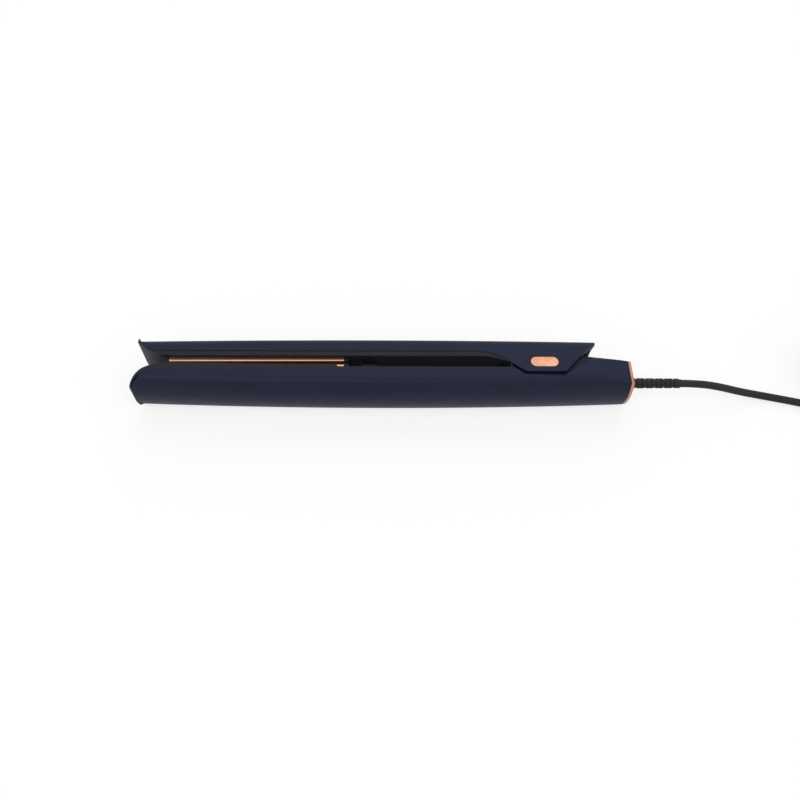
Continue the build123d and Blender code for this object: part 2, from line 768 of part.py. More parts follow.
with BuildPart() as upper_shell:
    add(upper_form())
    add(side_prism(upper_outline(), 0, BODY_WIDTH), mode=Mode.INTERSECT)
    add(plan_form(UPPER_TIP[0], 0), mode=Mode.INTERSECT)
    add(upper_hollow.part, mode=Mode.SUBTRACT)
    rear_mouth = housing_form(0, -CLEARANCE).rotate(
        Axis(place(PIVOT_ALONG, PIVOT_ACROSS), (0, 0, 1)), OPENING_ANGLE
    )
    mouth_half = HALF_WIDTH - WALL
    mouth_block = block(
        (CHEEK_END_AT - 4, CHEEK_END_AT + 9),
        (-BEYOND, BEYOND),
        (-mouth_half, mouth_half),
    )
    add(rear_mouth & mouth_block, mode=Mode.SUBTRACT)
    for along in UPPER_SCREWS_AT:
        add(
            boss(along, UPPER_FACE, upper_screw_seat + SCREW_LENGTH, SCREW_DIAMETER),
            mode=Mode.SUBTRACT,
        )
    add(window_pocket.part, mode=Mode.SUBTRACT)
    add(window_form(-WINDOW_LEDGE), mode=Mode.SUBTRACT)
    with BuildSketch(side_plane(0)):
        with Locations((PIVOT_ALONG, PIVOT_ACROSS)):
            Circle(PIN_DIAMETER / 2)
    extrude(amount=BODY_WIDTH, mode=Mode.SUBTRACT)
    for low in (0, BODY_WIDTH - CAP_DEPTH):
        with BuildSketch(side_plane(low)):
            with Locations((PIVOT_ALONG, PIVOT_ACROSS)):
                SlotOverall(CAP_LENGTH + 2 * TRIM_FIT, CAP_HEIGHT + 2 * TRIM_FIT)
        extrude(amount=CAP_DEPTH, mode=Mode.SUBTRACT)
finish(upper_shell, "upper_shell")

# Upper inner cover
with BuildPart() as upper_inner_cover:
    add(side_prism(upper_cover_outline(), COVER_INSET, BODY_WIDTH - COVER_INSET))
    add(plan_form(-LIP_REACH, COVER_INSET), mode=Mode.INTERSECT)
    pocket_end = PIVOT_ALONG - SLOPE_START - 2
    add(
        block(
            (TIP_EDGE_END + 2, pocket_end),
            (UPPER_FACE + COVER_FLOOR, BEYOND),
            (-window_half, window_half),
        ),
        mode=Mode.SUBTRACT,
    )
    with BuildSketch(mode=Mode.PRIVATE) as slope_floor:
        add(upper_cover_region())
        with Locations((0, COVER_FLOOR)):
            add(upper_cover_region(), mode=Mode.SUBTRACT)
        with Locations((pocket_end, 0)):
            Rectangle(BEYOND, BEYOND, align=(Align.MIN, Align.MIN), mode=Mode.INTERSECT)
    add(side_prism(slope_floor.sketch, HALF_WIDTH - window_half, HALF_WIDTH + window_half))
    with BuildSketch(deck_plane(0)):
        with Locations(((OPENING_START + OPENING_END) / 2, 0)):
            Rectangle(OPENING_END - OPENING_START, 2 * window_half)
    extrude(amount=BEYOND, mode=Mode.SUBTRACT)
    for along in UPPER_SCREWS_AT:
        add(boss(along, 0, BEYOND, SCREW_DIAMETER), mode=Mode.SUBTRACT)
        add(boss(along, 0, upper_screw_seat, SCREW_HEAD + 0.4), mode=Mode.SUBTRACT)
finish(upper_inner_cover, "upper_inner_cover")

# Hinge pin, caps and bushes
with BuildPart() as hinge_pin:
    with BuildSketch(side_plane(CAP_DEPTH)):
        with Locations((PIVOT_ALONG, PIVOT_ACROSS)):
            Circle(PIN_DIAMETER / 2)
    extrude(amount=BODY_WIDTH - 2 * CAP_DEPTH)
finish(hinge_pin, "hinge_pin")

with BuildPart() as hinge_caps:
    for low in (CAP_SINK, BODY_WIDTH - CAP_DEPTH):
        with BuildSketch(side_plane(low)):
            with Locations((PIVOT_ALONG, PIVOT_ACROSS)):
                SlotOverall(CAP_LENGTH, CAP_HEIGHT)
        extrude(amount=CAP_DEPTH - CAP_SINK)
finish(hinge_caps, "hinge_caps")

with BuildPart() as hinge_bushes:
    for side in (-1, 1):
        steps = (
            (BUSH_DIAMETER, lug_face, lug_inner),
            (BUSH_FLANGE, lug_inner, lug_inner - BUSH_FLANGE_THICKNESS),
            (SPOOL_DIAMETER, lug_inner - BUSH_FLANGE_THICKNESS, lug_inner - BUSH_SPOOL),
        )
        for diameter, outside, inside in steps:
            with BuildSketch(side_plane(HALF_WIDTH + side * outside)):
                with Locations((PIVOT_ALONG, PIVOT_ACROSS)):
                    Circle(diameter / 2)
                    Circle(PIN_DIAMETER / 2 + RUNNING_FIT, mode=Mode.SUBTRACT)
            extrude(amount=side * (inside - outside))
finish(hinge_bushes, "hinge_bushes")


def tangent_arcs(stations):
    """Two arcs from each station to the next; a station is a point and the way the path runs there."""
    for (start, start_way), (end, end_way) in zip(stations, stations[1:]):
        chord = end - start
        ways = start_way + end_way
        spread = 2 * (1 - start_way.dot(end_way))
        reach = 2 * chord.dot(ways)
        if chord.cross(start_way).length + chord.cross(end_way).length < 1e-6:
            Line(start, end)
            continue
        if spread < 1e-9:
            arm = chord.length**2 / reach
        else:
            root = math.sqrt(reach**2 + 4 * spread * chord.length**2)
            arm = (root - reach) / (2 * spread)
        joint = (start + start_way * arm + end - end_way * arm) / 2
        first = TangentArc(start, joint, tangent=start_way)
        TangentArc(joint, end, tangent=first % 1)


def least_gap(path, diameter, apart):
    """Least gap between turns of a tube, measured between points on its path."""
    count = int(path.length / (diameter / 4))
    points = [path.position_at(n / count) for n in range(count + 1)]
    skip = int(apart / (path.length / count))
    least = min(
        (points[a] - points[b]).length
        for a in range(len(points))
        for b in range(a + skip, len(points))
    )
    return least - diameter


# Hinge spring, wound round the bushes, with one leg on the rear cover's floor and one under the upper arm
def on_spring(angle, up, rise):
    """Station on the spring's coil at an angle round the pin."""
    turn = math.radians(angle)
    point = place(
        PIVOT_ALONG + SPRING_RADIUS * math.cos(turn),
        PIVOT_ACROSS + SPRING_RADIUS * math.sin(turn),
        up,
    )
    return point, Vector(-math.sin(turn), math.cos(turn), rise).normalized()


def leg_tilt(along, across):
    """Tilt of a leg that leaves the rim of the spring's coil and passes a place counted from the pivot."""
    reach = math.hypot(along, across)
    return math.degrees(math.atan2(abs(across), -along) - math.asin(SPRING_RADIUS / reach))


leg_half = SPRING_WIRE / 2 + SPRING_SLACK
floor_top = LOWER_PARTING + SPRING_FLOOR
fixed_tilt = leg_tilt(SPRING_FLOOR_END - PIVOT_ALONG, floor_top + leg_half - PIVOT_ACROSS)
moving_tilt = leg_tilt(SPRING_RIB_AT - PIVOT_ALONG, SPRING_RIB_END - leg_half - PIVOT_ACROSS)
first_angle = fixed_tilt - 90
last_angle = 90 - moving_tilt + 360 * SPRING_TURNS
half_turns = 2 * SPRING_TURNS + 1
spring_rise = (spring_high - spring_low) / math.radians(last_angle - first_angle) / SPRING_RADIUS
spring_stations = []
for n in range(half_turns + 1):
    share = n / half_turns
    angle = first_angle + share * (last_angle - first_angle)
    up = spring_low + share * (spring_high - spring_low)
    spring_stations.append(on_spring(angle, up, spring_rise if 0 < n < half_turns else 0))
fixed_point, fixed_way = spring_stations[0]
moving_point, moving_way = spring_stations[-1]
spring_stations.insert(0, (fixed_point - fixed_way * FIXED_LEG_LENGTH, fixed_way))
spring_stations.append((moving_point + moving_way * MOVING_LEG_LENGTH, moving_way))

with BuildPart() as hinge_spring:
    with BuildLine() as spring_line:
        tangent_arcs(spring_stations)
    with BuildSketch(Plane(origin=spring_stations[0][0], z_dir=fixed_way)):
        RegularPolygon(SPRING_WIRE / 2, 4)
    sweep(path=spring_line.line)
finish(hinge_spring, "hinge_spring")
spring_gap = least_gap(spring_line.wire(), SPRING_WIRE, 3 * SPRING_RADIUS)
print(f"hinge spring: least gap to itself {spring_gap:.2f} mm")


# Heating plates: the same pieces for both arms
def plate_plane(face, toe, way):
    """Plane across a plate's front end: outwards from its face, and sideways from the middle.

    way is +1 where the face looks up the sheet, on the lower arm, and -1 on the upper arm."""
    tilt = math.radians(toe)
    return Plane(
        origin=place(PLATE_START, face),
        x_dir=(math.sin(tilt), way * math.cos(tilt), 0),
        z_dir=(math.cos(tilt), -way * math.sin(tilt), 0),
    )


def plate_pieces(arm, face, toe, way, carrier_face, cover_face):
    """Plate, heater, clip, end caps, carrier and cushions of one arm."""
    start = plate_plane(face, toe, way)
    channel = RAIL_SPAN - 2 * RAIL_THICKNESS

    with BuildPart() as plate:
        with BuildSketch(start):
            Rectangle(BLADE_THICKNESS, PLATE_WIDTH, align=(Align.MAX, Align.CENTER))
            with Locations((-RAIL_DEPTH, 0)):
                Rectangle(RAIL_DEPTH, RAIL_SPAN, align=(Align.MIN, Align.CENTER))
                hook_span = channel - 2 * RAIL_HOOK
                Rectangle(RAIL_HOOK, hook_span, align=(Align.MIN, Align.CENTER), mode=Mode.SUBTRACT)
            with Locations((-RAIL_DEPTH + RAIL_HOOK, 0)):
                depth = RAIL_DEPTH - RAIL_HOOK - BLADE_THICKNESS
                Rectangle(depth, channel, align=(Align.MIN, Align.CENTER), mode=Mode.SUBTRACT)
            fillet(vertices().group_by(Axis.X)[-1], PLATE_EDGE_ROUND)
        extrude(amount=PLATE_LENGTH)
    finish(plate, f"{arm}_plate")

    with BuildPart() as heater:
        with BuildSketch(start.offset(HEATER_MARGIN)):
            with Locations((-BLADE_THICKNESS, 0)):
                Rectangle(HEATER_THICKNESS, channel - 0.8, align=(Align.MAX, Align.CENTER))
        extrude(amount=HEATER_LENGTH)
    finish(heater, f"{arm}_heater")

    with BuildPart() as clip:
        with BuildSketch(start.offset(CLIP_MARGIN)):
            top = -BLADE_THICKNESS - HEATER_THICKNESS
            foot = -RAIL_DEPTH + RAIL_HOOK
            half = channel / 2
            with BuildLine():
                bow = ThreePointArc((foot, -half), (top - CLIP_THICKNESS, 0), (foot, half))
                Line(bow @ 1, (foot + CLIP_THICKNESS, half))
                rise = ThreePointArc((foot + CLIP_THICKNESS, half), (top, 0), (foot + CLIP_THICKNESS, -half))
                Line(rise @ 1, bow @ 0)
            make_face()
        extrude(amount=CLIP_LENGTH)
    finish(clip, f"{arm}_heater_clip")

    for end, at, tongue in (
        ("front", -END_CAP_LENGTH, END_CAP_TONGUE),
        ("rear", PLATE_LENGTH, -END_CAP_TONGUE),
    ):
        with BuildPart() as end_cap:
            with BuildSketch(start.offset(at)):
                Rectangle(END_CAP_DEPTH, PLATE_WIDTH, align=(Align.MAX, Align.CENTER))
            extrude(amount=END_CAP_LENGTH)
            inner_end = at + END_CAP_LENGTH if end == "front" else at
            with BuildSketch(start.offset(inner_end)):
                with Locations((-BLADE_THICKNESS, 0)):
                    Rectangle(
                        END_CAP_DEPTH - BLADE_THICKNESS, channel, align=(Align.MAX, Align.CENTER)
                    )
            extrude(amount=tongue)
            if end == "rear":
                dot = start.offset(at + END_CAP_LENGTH / 2).origin - start.x_dir * END_CAP_LENGTH / 2
                for low in (HALF_WIDTH - PLATE_WIDTH / 2, HALF_WIDTH + PLATE_WIDTH / 2 - CAP_DOT_DEPTH):
                    with BuildSketch(Plane(origin=(dot.X, dot.Y, low), z_dir=(0, 0, 1))):
                        Circle(CAP_DOT_DIAMETER / 2)
                    extrude(amount=CAP_DOT_DEPTH, mode=Mode.SUBTRACT)
        finish(end_cap, f"{arm}_{end}_cap")

    wall_front = OPENING_START - CLEARANCE - CARRIER_WALL
    wall_back = OPENING_END + CLEARANCE
    half = CARRIER_WIDTH / 2
    with BuildPart() as carrier:
        floor = sorted((carrier_face, carrier_face - way * CARRIER_FLOOR))
        add(block((wall_front, wall_back + CARRIER_WALL), floor, (-half, half)))
        for along in (wall_front, wall_back):
            wall = sorted((carrier_face, cover_face))
            add(block((along, along + CARRIER_WALL), wall, (-half, half)))
    finish(carrier, f"{arm}_plate_carrier")

    with BuildPart() as cushions:
        back_of_rails = Plane(
            origin=start.origin - start.x_dir * RAIL_DEPTH, x_dir=start.z_dir, z_dir=start.x_dir
        )
        first = PLATE_START + CUSHION_MARGIN
        last = PLATE_END - CUSHION_MARGIN - CUSHION_LENGTH
        for along in (first, last):
            room = sorted((carrier_face, carrier_face + way * RAIL_DEPTH))
            add(
                block(
                    (along, along + CUSHION_LENGTH),
                    room,
                    (-CUSHION_WIDTH / 2, CUSHION_WIDTH / 2),
                )
            )
        split(bisect_by=back_of_rails, keep=Keep.BOTTOM)
    finish(cushions, f"{arm}_cushions")


plate_pieces("lower", LOWER_PLATE_FACE, LOWER_TOE, 1, LOWER_CARRIER_TOP, LOWER_PARTING)
plate_pieces(
    "upper", UPPER_PLATE_FACE, UPPER_TOE, -1, UPPER_CARRIER_BOTTOM, UPPER_FACE + COVER_FLOOR
)

# Control pad
key_places = [PAD_AT - KEY_PITCH, PAD_AT, PAD_AT + KEY_PITCH]
key_names = ("key_less", "key_power", "key_more")
pad_top = DECK + PAD_HEIGHT
pad_roof = pad_top - PAD_ROOF

with BuildPart() as control_pad:
    with BuildSketch(deck_plane(DECK)):
        with Locations((PAD_AT, 0)):
            RectangleRounded(PAD_LENGTH, PAD_WIDTH, PAD_CORNER)
    extrude(amount=PAD_HEIGHT)
    chamfer(faces().sort_by(Axis.Y)[-1].edges(), PAD_BEVEL)
    with BuildSketch(deck_plane(DECK)):
        with Locations((PAD_AT, 0)):
            Rectangle(pad_opening_length, pad_opening_width)
    extrude(amount=pad_roof - DECK, mode=Mode.SUBTRACT)
    with BuildSketch(deck_plane(DECK)):
        for along in key_places:
            with Locations((along, 0)):
                RectangleRounded(KEY_LENGTH + 2 * KEY_GAP, KEY_WIDTH + 2 * KEY_GAP, 1.0)
    extrude(amount=PAD_HEIGHT, mode=Mode.SUBTRACT)
finish(control_pad, "control_pad")

for name, along in zip(key_names, key_places):
    flange_top = pad_roof - SLIDE_GAP
    with BuildPart() as key:
        with BuildSketch(deck_plane(flange_top)):
            with Locations((along, 0)):
                RectangleRounded(KEY_LENGTH, KEY_WIDTH, 0.8)
        extrude(amount=pad_top + KEY_STANDS - flange_top)
        chamfer(faces().sort_by(Axis.Y)[-1].edges(), KEY_BEVEL)
        with BuildSketch(deck_plane(flange_top - KEY_FLANGE_THICKNESS)):
            with Locations((along, 0)):
                Rectangle(KEY_LENGTH + KEY_FLANGE, KEY_WIDTH + 2 * KEY_FLANGE)
        extrude(amount=KEY_FLANGE_THICKNESS)
        with BuildSketch(deck_plane(KEY_STEM_END)):
            with Locations((along, 0)):
                Rectangle(KEY_STEM, KEY_STEM)
        extrude(amount=flange_top - KEY_FLANGE_THICKNESS - KEY_STEM_END)
    finish(key, name)

# Control board, its switches and its larger parts
board_top = BOARD_AT + BOARD_THICKNESS
with BuildPart() as control_board:
    with BuildSketch(deck_plane(BOARD_AT)):
        with Locations(((BOARD_FRONT + BOARD_BACK) / 2, 0)):
            Rectangle(BOARD_BACK - BOARD_FRONT, BOARD_WIDTH)
        with Locations((LOWER_SCREWS_AT[1], 0)):
            Circle(BOSS_DIAMETER / 2 + CLEARANCE, mode=Mode.SUBTRACT)
    extrude(amount=BOARD_THICKNESS)
finish(control_board, "control_board")

with BuildPart() as key_switches:
    for along in key_places:
        with BuildSketch(deck_plane(board_top)):
            with Locations((along, 0)):
                Rectangle(SWITCH_SIZE, SWITCH_SIZE)
        extrude(amount=SWITCH_BODY)
        with BuildSketch(deck_plane(board_top + SWITCH_BODY)):
            with Locations((along, 0)):
                Rectangle(KEY_STEM, KEY_STEM)
        extrude(amount=SWITCH_PLUNGER)
finish(key_switches, "key_switches")

with BuildPart() as board_parts:
    for along, sideways, length, width, height in (
        (BOARD_FRONT + 6.0, 4.5, 8.0, 9.0, 3.6),
        (BOARD_FRONT + 5.0, -5.5, 6.5, 7.0, 3.0),
        (BOARD_BACK - 5.5, 7.0, 8.0, 5.5, 3.4),
        (BOARD_BACK - 7.0, -6.5, 9.0, 5.0, 3.0),
    ):
        with BuildSketch(deck_plane(board_top)):
            with Locations((along, sideways)):
                Rectangle(length, width)
        extrude(amount=height)
finish(board_parts, "board_parts")

# Display window and its module
with BuildPart() as display_window:
    add(window_form(0))
    add(window_outer, mode=Mode.INTERSECT)
    add(window_inner, mode=Mode.SUBTRACT)
finish(display_window, "display_window")

guide_length = WINDOW_LENGTH - 2 * WINDOW_LEDGE - 1
guide_width = WINDOW_WIDTH - 2 * WINDOW_LEDGE - 1
module_top = UPPER_CROWN - MODULE_DROP
with BuildPart() as display_module:
    with BuildSketch(deck_plane(module_top - MODULE_THICKNESS)):
        with Locations((WINDOW_MIDDLE, 0)):
            Rectangle(guide_length, MODULE_WIDTH)
    extrude(amount=MODULE_THICKNESS)
    with BuildSketch(deck_plane(module_top)):
        with Locations((WINDOW_MIDDLE, 0)):
            Rectangle(guide_length, guide_width)
    extrude(amount=MODULE_DROP)
    add(upper_form(WALL, WINDOW_THICKNESS + GUIDE_GAP), mode=Mode.INTERSECT)
finish(display_module, "display_module")

# Bumper, lock keeper and lock slider
with BuildPart() as bumper:
    with BuildSketch(side_plane(HALF_WIDTH - BUMPER_WIDTH / 2)):
        with BuildLine():
            rub = FilletPolyline(
                (BUMPER_FRONT, UPPER_FACE),
                (BUMPER_FRONT + 0.6, UPPER_FACE - BUMPER_DROP),
                (BUMPER_FRONT + 4.4, UPPER_FACE - BUMPER_DROP),
                (BUMPER_FRONT + 9.7, UPPER_FACE),
                radius=[0.8, 2.0],
            )
            Line(rub @ 1, rub @ 0)
        make_face()
    extrude(amount=BUMPER_WIDTH)
finish(bumper, "bumper")

with BuildPart() as lock_keeper:
    with BuildSketch(side_plane(HALF_WIDTH - KEEPER_WIDTH / 2)):
        with Locations((KEEPER_FRONT, KEEPER_BOTTOM)):
            Rectangle(4.6, 2.6, align=(Align.MIN, Align.MIN))
        add(upper_cover_region(), mode=Mode.SUBTRACT)
    extrude(amount=KEEPER_WIDTH)
finish(lock_keeper, "lock_keeper")

lock_middle = LOCK_FRONT + LOCK_LENGTH / 2
foot_top = LOWER_PARTING - SLIDE_GAP
with BuildPart() as lock_slider:
    with BuildSketch(deck_plane(DECK + SLIDE_GAP)):
        with Locations((lock_middle, 0)):
            RectangleRounded(LOCK_LENGTH, LOCK_WIDTH, 1.5)
    extrude(amount=LOCK_TOP - DECK - SLIDE_GAP)
    chamfer(faces().sort_by(Axis.Y)[-1].edges(), LOCK_BEVEL)
    with BuildSketch(deck_plane(LOCK_TOP)):
        for step in (-1, 0, 1):
            with Locations((lock_middle + step * 1.8, 0)):
                Rectangle(0.8, LOCK_WIDTH - 4)
    extrude(amount=-0.4, mode=Mode.SUBTRACT)
    with BuildSketch(deck_plane(foot_top)):
        with Locations((lock_middle, 0)):
            Rectangle(LOCK_STEM_LENGTH, LOCK_STEM_WIDTH)
    extrude(amount=DECK + SLIDE_GAP - foot_top)
    with BuildSketch(deck_plane(foot_top)):
        with Locations((lock_middle, 0)):
            Rectangle(LOCK_STEM_LENGTH + 2, LOCK_STEM_WIDTH + 4)
    extrude(amount=-LOCK_FOOT)
finish(lock_slider, "lock_slider")

# Screws
with BuildPart() as lower_screws:
    for along in LOWER_SCREWS_AT:
        for shape in screw(along, lower_screw_seat, 1):
            add(shape)
    for shape in screw(HOUSING_SCREW_AT, housing_screw_seat, 1):
        add(shape)
finish(lower_screws, "lower_screws")

with BuildPart() as upper_screws:
    for along in UPPER_SCREWS_AT:
        for shape in screw(along, upper_screw_seat, -1):
            add(shape)
finish(upper_screws, "upper_screws")

# Swivel and strain relief, turned round the line on which the lead leaves
lead_plane = Plane(origin=place(0, LOWER_PARTING), x_dir=(1, 0, 0), z_dir=(0, 0, 1))
lead_axis = Axis(place(0, LOWER_PARTING), (1, 0, 0))
bore_radius = CORD_RADIUS + RUNNING_FIT
barrel_start = HOUSING_BACK - BACK_WALL - CLEARANCE - BARREL_FLANGE_LENGTH

with BuildPart() as swivel_collar:
    with BuildSketch(lead_plane):
        with BuildLine():
            Polyline(
                (barrel_start, bore_radius),
                (barrel_start, BARREL_FLANGE / 2),
                (barrel_start + BARREL_FLANGE_LENGTH, BARREL_FLANGE / 2),
                (barrel_start + BARREL_FLANGE_LENGTH, BARREL_DIAMETER / 2),
                (COLLAR_START, BARREL_DIAMETER / 2),
                (COLLAR_START, COLLAR_DIAMETER / 2),
                (COLLAR_END - 0.4, COLLAR_DIAMETER / 2),
                (COLLAR_END, COLLAR_DIAMETER / 2 - 0.4),
                (COLLAR_END, bore_radius),
                close=True,
            )
        make_face()
    revolve(axis=lead_axis)
finish(swivel_collar, "swivel_collar")

with BuildPart() as strain_relief:
    with BuildSketch(end_plane(barrel_start, LOWER_PARTING)):
        RegularPolygon(bore_radius, RELIEF_SIDES)
    extrude(amount=COLLAR_END - barrel_start)
    with BuildSketch(end_plane(COLLAR_END, LOWER_PARTING)):
        RegularPolygon(RELIEF_ROOT / 2, RELIEF_SIDES)
    with BuildSketch(end_plane(RELIEF_TIP, LOWER_PARTING)):
        RegularPolygon(RELIEF_END / 2, RELIEF_SIDES)
    loft(ruled=True)
    with BuildSketch(end_plane(RELIEF_TIP, LOWER_PARTING)):
        Circle(bore_radius)
    extrude(amount=-RELIEF_BORE_DEPTH, mode=Mode.SUBTRACT)
finish(strain_relief, "strain_relief")

# Put-away length of the lead: a hank that spirals in and out in layers and is drawn in at its waist
hank_outer = HANK_INNER_RADIUS + HANK_STEPS_IN * HANK_STEP / 2
hank_floor = TIE_THICKNESS + TIE_GAP + CORD_RADIUS
waist_radius = ((HANK_RUN / 2) ** 2 + HANK_WAIST**2) / (4 * HANK_WAIST)
waist_bow = (TIE_WIDTH / 2) ** 2 / (2 * waist_radius)
ALONG_WAY = Vector(1, 0, 0)


def hank_run(radius, heights, way):
    """Stations of one run of the hank, drawn in halfway, at its heights along the run."""
    side = -way
    start, end = (HANK_START, HANK_START + HANK_RUN)[::way]
    low, middle, high = heights
    rise = 0 if low == middle else 1.5 * (high - low)
    return [
        (place(start, HANK_MIDDLE + side * radius, low), ALONG_WAY * way),
        (
            place(HANK_START + HANK_RUN / 2, HANK_MIDDLE + side * (radius - HANK_WAIST), middle),
            Vector(way * HANK_RUN, 0, rise).normalized(),
        ),
        (place(end, HANK_MIDDLE + side * radius, high), ALONG_WAY * way),
    ]


hank_stations = []
hank_runs = HANK_LAYERS * HANK_STEPS_IN + 1
for n in range(hank_runs):
    layer, step = divmod(n, HANK_STEPS_IN)
    inward = HANK_STEPS_IN - step if layer % 2 == 0 else step
    radius = HANK_INNER_RADIUS + inward * HANK_STEP / 2
    high = hank_floor + layer * HANK_STEP
    low = high - HANK_STEP if step == 0 and n > 0 else high
    middle = low if n == hank_runs - 1 else (low + high) / 2
    hank_stations += hank_run(radius, (low, middle, high), 1 if n % 2 == 0 else -1)
hank_top = hank_floor + (HANK_LAYERS - 1) * HANK_STEP + CORD_RADIUS
tie_top = hank_top + waist_bow + TIE_GAP + TIE_THICKNESS
plug_up = tie_top + PLUG_THICKNESS / 2
fold_end = place(HANK_START + HANK_RUN, HANK_MIDDLE + HANK_PLUG_SIDE, plug_up)
hank_stations.append((fold_end, -ALONG_WAY))
plug_entry = fold_end - ALONG_WAY * CORD_DIAMETER
hank_stations.append((plug_entry, -ALONG_WAY))
hank_stations.insert(0, (hank_stations[0][0] - ALONG_WAY * CORD_DIAMETER, ALONG_WAY))

with BuildPart() as cord_hank:
    with BuildLine() as hank_line:
        tangent_arcs(hank_stations)
    with BuildSketch(Plane(origin=hank_stations[0][0], z_dir=ALONG_WAY)):
        RegularPolygon(CORD_RADIUS, 5)
    sweep(path=hank_line.line)
finish(cord_hank, "cord_hank")
hank_gap = least_gap(hank_line.wire(), CORD_DIAMETER, 2 * HANK_INNER_RADIUS)
print(f"cord hank: length {hank_line.wire().length:.0f} mm, least gap to itself {hank_gap:.2f} mm")

# Free stretch of the lead, from the strain relief down to the surface and along to the hank
hank_entry = hank_stations[0][0]
cord_route = [
    place(RELIEF_TIP - RELIEF_BORE_DEPTH, LOWER_PARTING),
    place(RELIEF_TIP + 9.3, LOWER_PARTING),
    place(RELIEF_TIP + 24.3, 11.3, 11.6),
    place(RELIEF_TIP + 38.3, 11.4, 6.0),
    place(RELIEF_TIP + 53.3, 10.3, 2.9),
    place(RELIEF_TIP + 70.3, 6.8, 2.6),
    place(RELIEF_TIP + 86.3, 2.6, 2.8),
    Vector(hank_entry.X - 10, hank_entry.Y, hank_entry.Z),
    hank_entry,
]


def bend_radii(route):
    """Radius of each corner of a lead's route, from its shorter run and its turn."""
    radii = []
    for before, corner, after in zip(route, route[1:], route[2:]):
        arriving = corner - before
        leaving = after - corner
        turn = math.radians(arriving.get_angle(leaving))
        shorter = min(arriving.length, leaving.length)
        radii.append(0.45 * shorter / math.tan(turn / 2))
    return radii


cord_radii = bend_radii(cord_route)
with BuildPart() as power_cord:
    with BuildLine() as cord_line:
        FilletPolyline(*cord_route, radius=cord_radii)
    with BuildSketch(Plane(origin=cord_route[0], z_dir=ALONG_WAY)):
        RegularPolygon(CORD_RADIUS, 8)
    sweep(path=cord_line.line)
finish(power_cord, "power_cord")
cord_length = cord_line.wire().length
cord_volume = power_cord.faces().sort_by(Axis.X)[0].area * cord_length
volume_share = power_cord.part.volume / cord_volume
print("power cord: radii", [round(r) for r in cord_radii], "mm")
print(f"power cord: length {cord_length:.0f} mm")
print(f"power cord: volume {volume_share:.4f} of its section times its length")
print(f"lead: {(cord_length + hank_line.wire().length) / 1000:.3f} m in all")

# Tie round the hank's waist
tie_half = hank_outer - HANK_WAIST + CORD_RADIUS + waist_bow + TIE_GAP
with BuildPart() as cord_tie:
    with BuildSketch(end_plane(HANK_START + HANK_RUN / 2 - TIE_WIDTH / 2)):
        with Locations((HANK_MIDDLE, tie_top / 2 - HALF_WIDTH)):
            RectangleRounded(2 * tie_half + 2 * TIE_THICKNESS, tie_top, CORD_RADIUS + TIE_THICKNESS)
            RectangleRounded(
                2 * tie_half, tie_top - 2 * TIE_THICKNESS, CORD_RADIUS, mode=Mode.SUBTRACT
            )
    extrude(amount=TIE_WIDTH)
finish(cord_tie, "cord_tie")

# Plug, lying on the hank with its pins pointing back along it
with BuildPart() as plug_body:
    with BuildSketch(Plane(origin=plug_entry - Vector(0, 0, PLUG_THICKNESS / 2))):
        with BuildLine():
            Polyline(
                (0, -PLUG_NECK / 2),
                (-PLUG_SHOULDER, -PLUG_WIDTH / 2),
                (-PLUG_LENGTH, -PLUG_WIDTH / 2),
                (-PLUG_LENGTH, PLUG_WIDTH / 2),
                (-PLUG_SHOULDER, PLUG_WIDTH / 2),
                (0, PLUG_NECK / 2),
                close=True,
            )
        make_face()
        corners = vertices().group_by(Axis.X)
        fillet(corners[1], PLUG_SHOULDER / 2)
        fillet(corners[0], PLUG_EDGE)
    extrude(amount=PLUG_THICKNESS)
    with BuildSketch(Plane(origin=plug_entry, x_dir=(0, 1, 0), z_dir=-ALONG_WAY)):
        RectangleRounded(PLUG_WIDTH, PLUG_THICKNESS, PLUG_EDGE * 1.5)
    extrude(amount=PLUG_LENGTH, mode=Mode.INTERSECT)
finish(plug_body, "plug_body")

plug_face = plug_entry - ALONG_WAY * PLUG_LENGTH
with BuildPart() as plug_pins:
    with BuildSketch(Plane(origin=plug_face, x_dir=(0, 1, 0), z_dir=-ALONG_WAY)):
        with Locations((-PLUG_PIN_SPAN / 2, 0), (PLUG_PIN_SPAN / 2, 0)):
            Circle(PLUG_PIN_DIAMETER / 2)
    extrude(amount=PLUG_PIN_LENGTH)
    chamfer(faces().group_by(Axis.X)[0].edges(), PLUG_PIN_BEVEL)
finish(plug_pins, "plug_pins")
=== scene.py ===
import math

import bmesh
import bpy
from mathutils import Matrix, Vector


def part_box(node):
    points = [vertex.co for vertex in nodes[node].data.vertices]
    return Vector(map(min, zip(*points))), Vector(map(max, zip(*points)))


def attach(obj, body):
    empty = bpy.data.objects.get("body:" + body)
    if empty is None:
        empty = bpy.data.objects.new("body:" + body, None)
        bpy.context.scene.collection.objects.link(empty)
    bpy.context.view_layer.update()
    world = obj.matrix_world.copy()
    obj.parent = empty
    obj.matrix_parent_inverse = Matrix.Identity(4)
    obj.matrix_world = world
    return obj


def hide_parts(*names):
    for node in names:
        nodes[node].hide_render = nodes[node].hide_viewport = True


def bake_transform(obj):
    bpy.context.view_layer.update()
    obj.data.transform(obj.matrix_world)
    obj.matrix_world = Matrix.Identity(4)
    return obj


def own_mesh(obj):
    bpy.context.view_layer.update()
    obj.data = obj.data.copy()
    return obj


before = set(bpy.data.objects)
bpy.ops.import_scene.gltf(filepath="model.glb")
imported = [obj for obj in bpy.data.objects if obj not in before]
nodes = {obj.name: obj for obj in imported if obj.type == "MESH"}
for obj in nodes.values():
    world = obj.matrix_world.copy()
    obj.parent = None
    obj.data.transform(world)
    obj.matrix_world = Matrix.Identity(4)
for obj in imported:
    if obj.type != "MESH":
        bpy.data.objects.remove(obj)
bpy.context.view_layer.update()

scene = bpy.context.scene

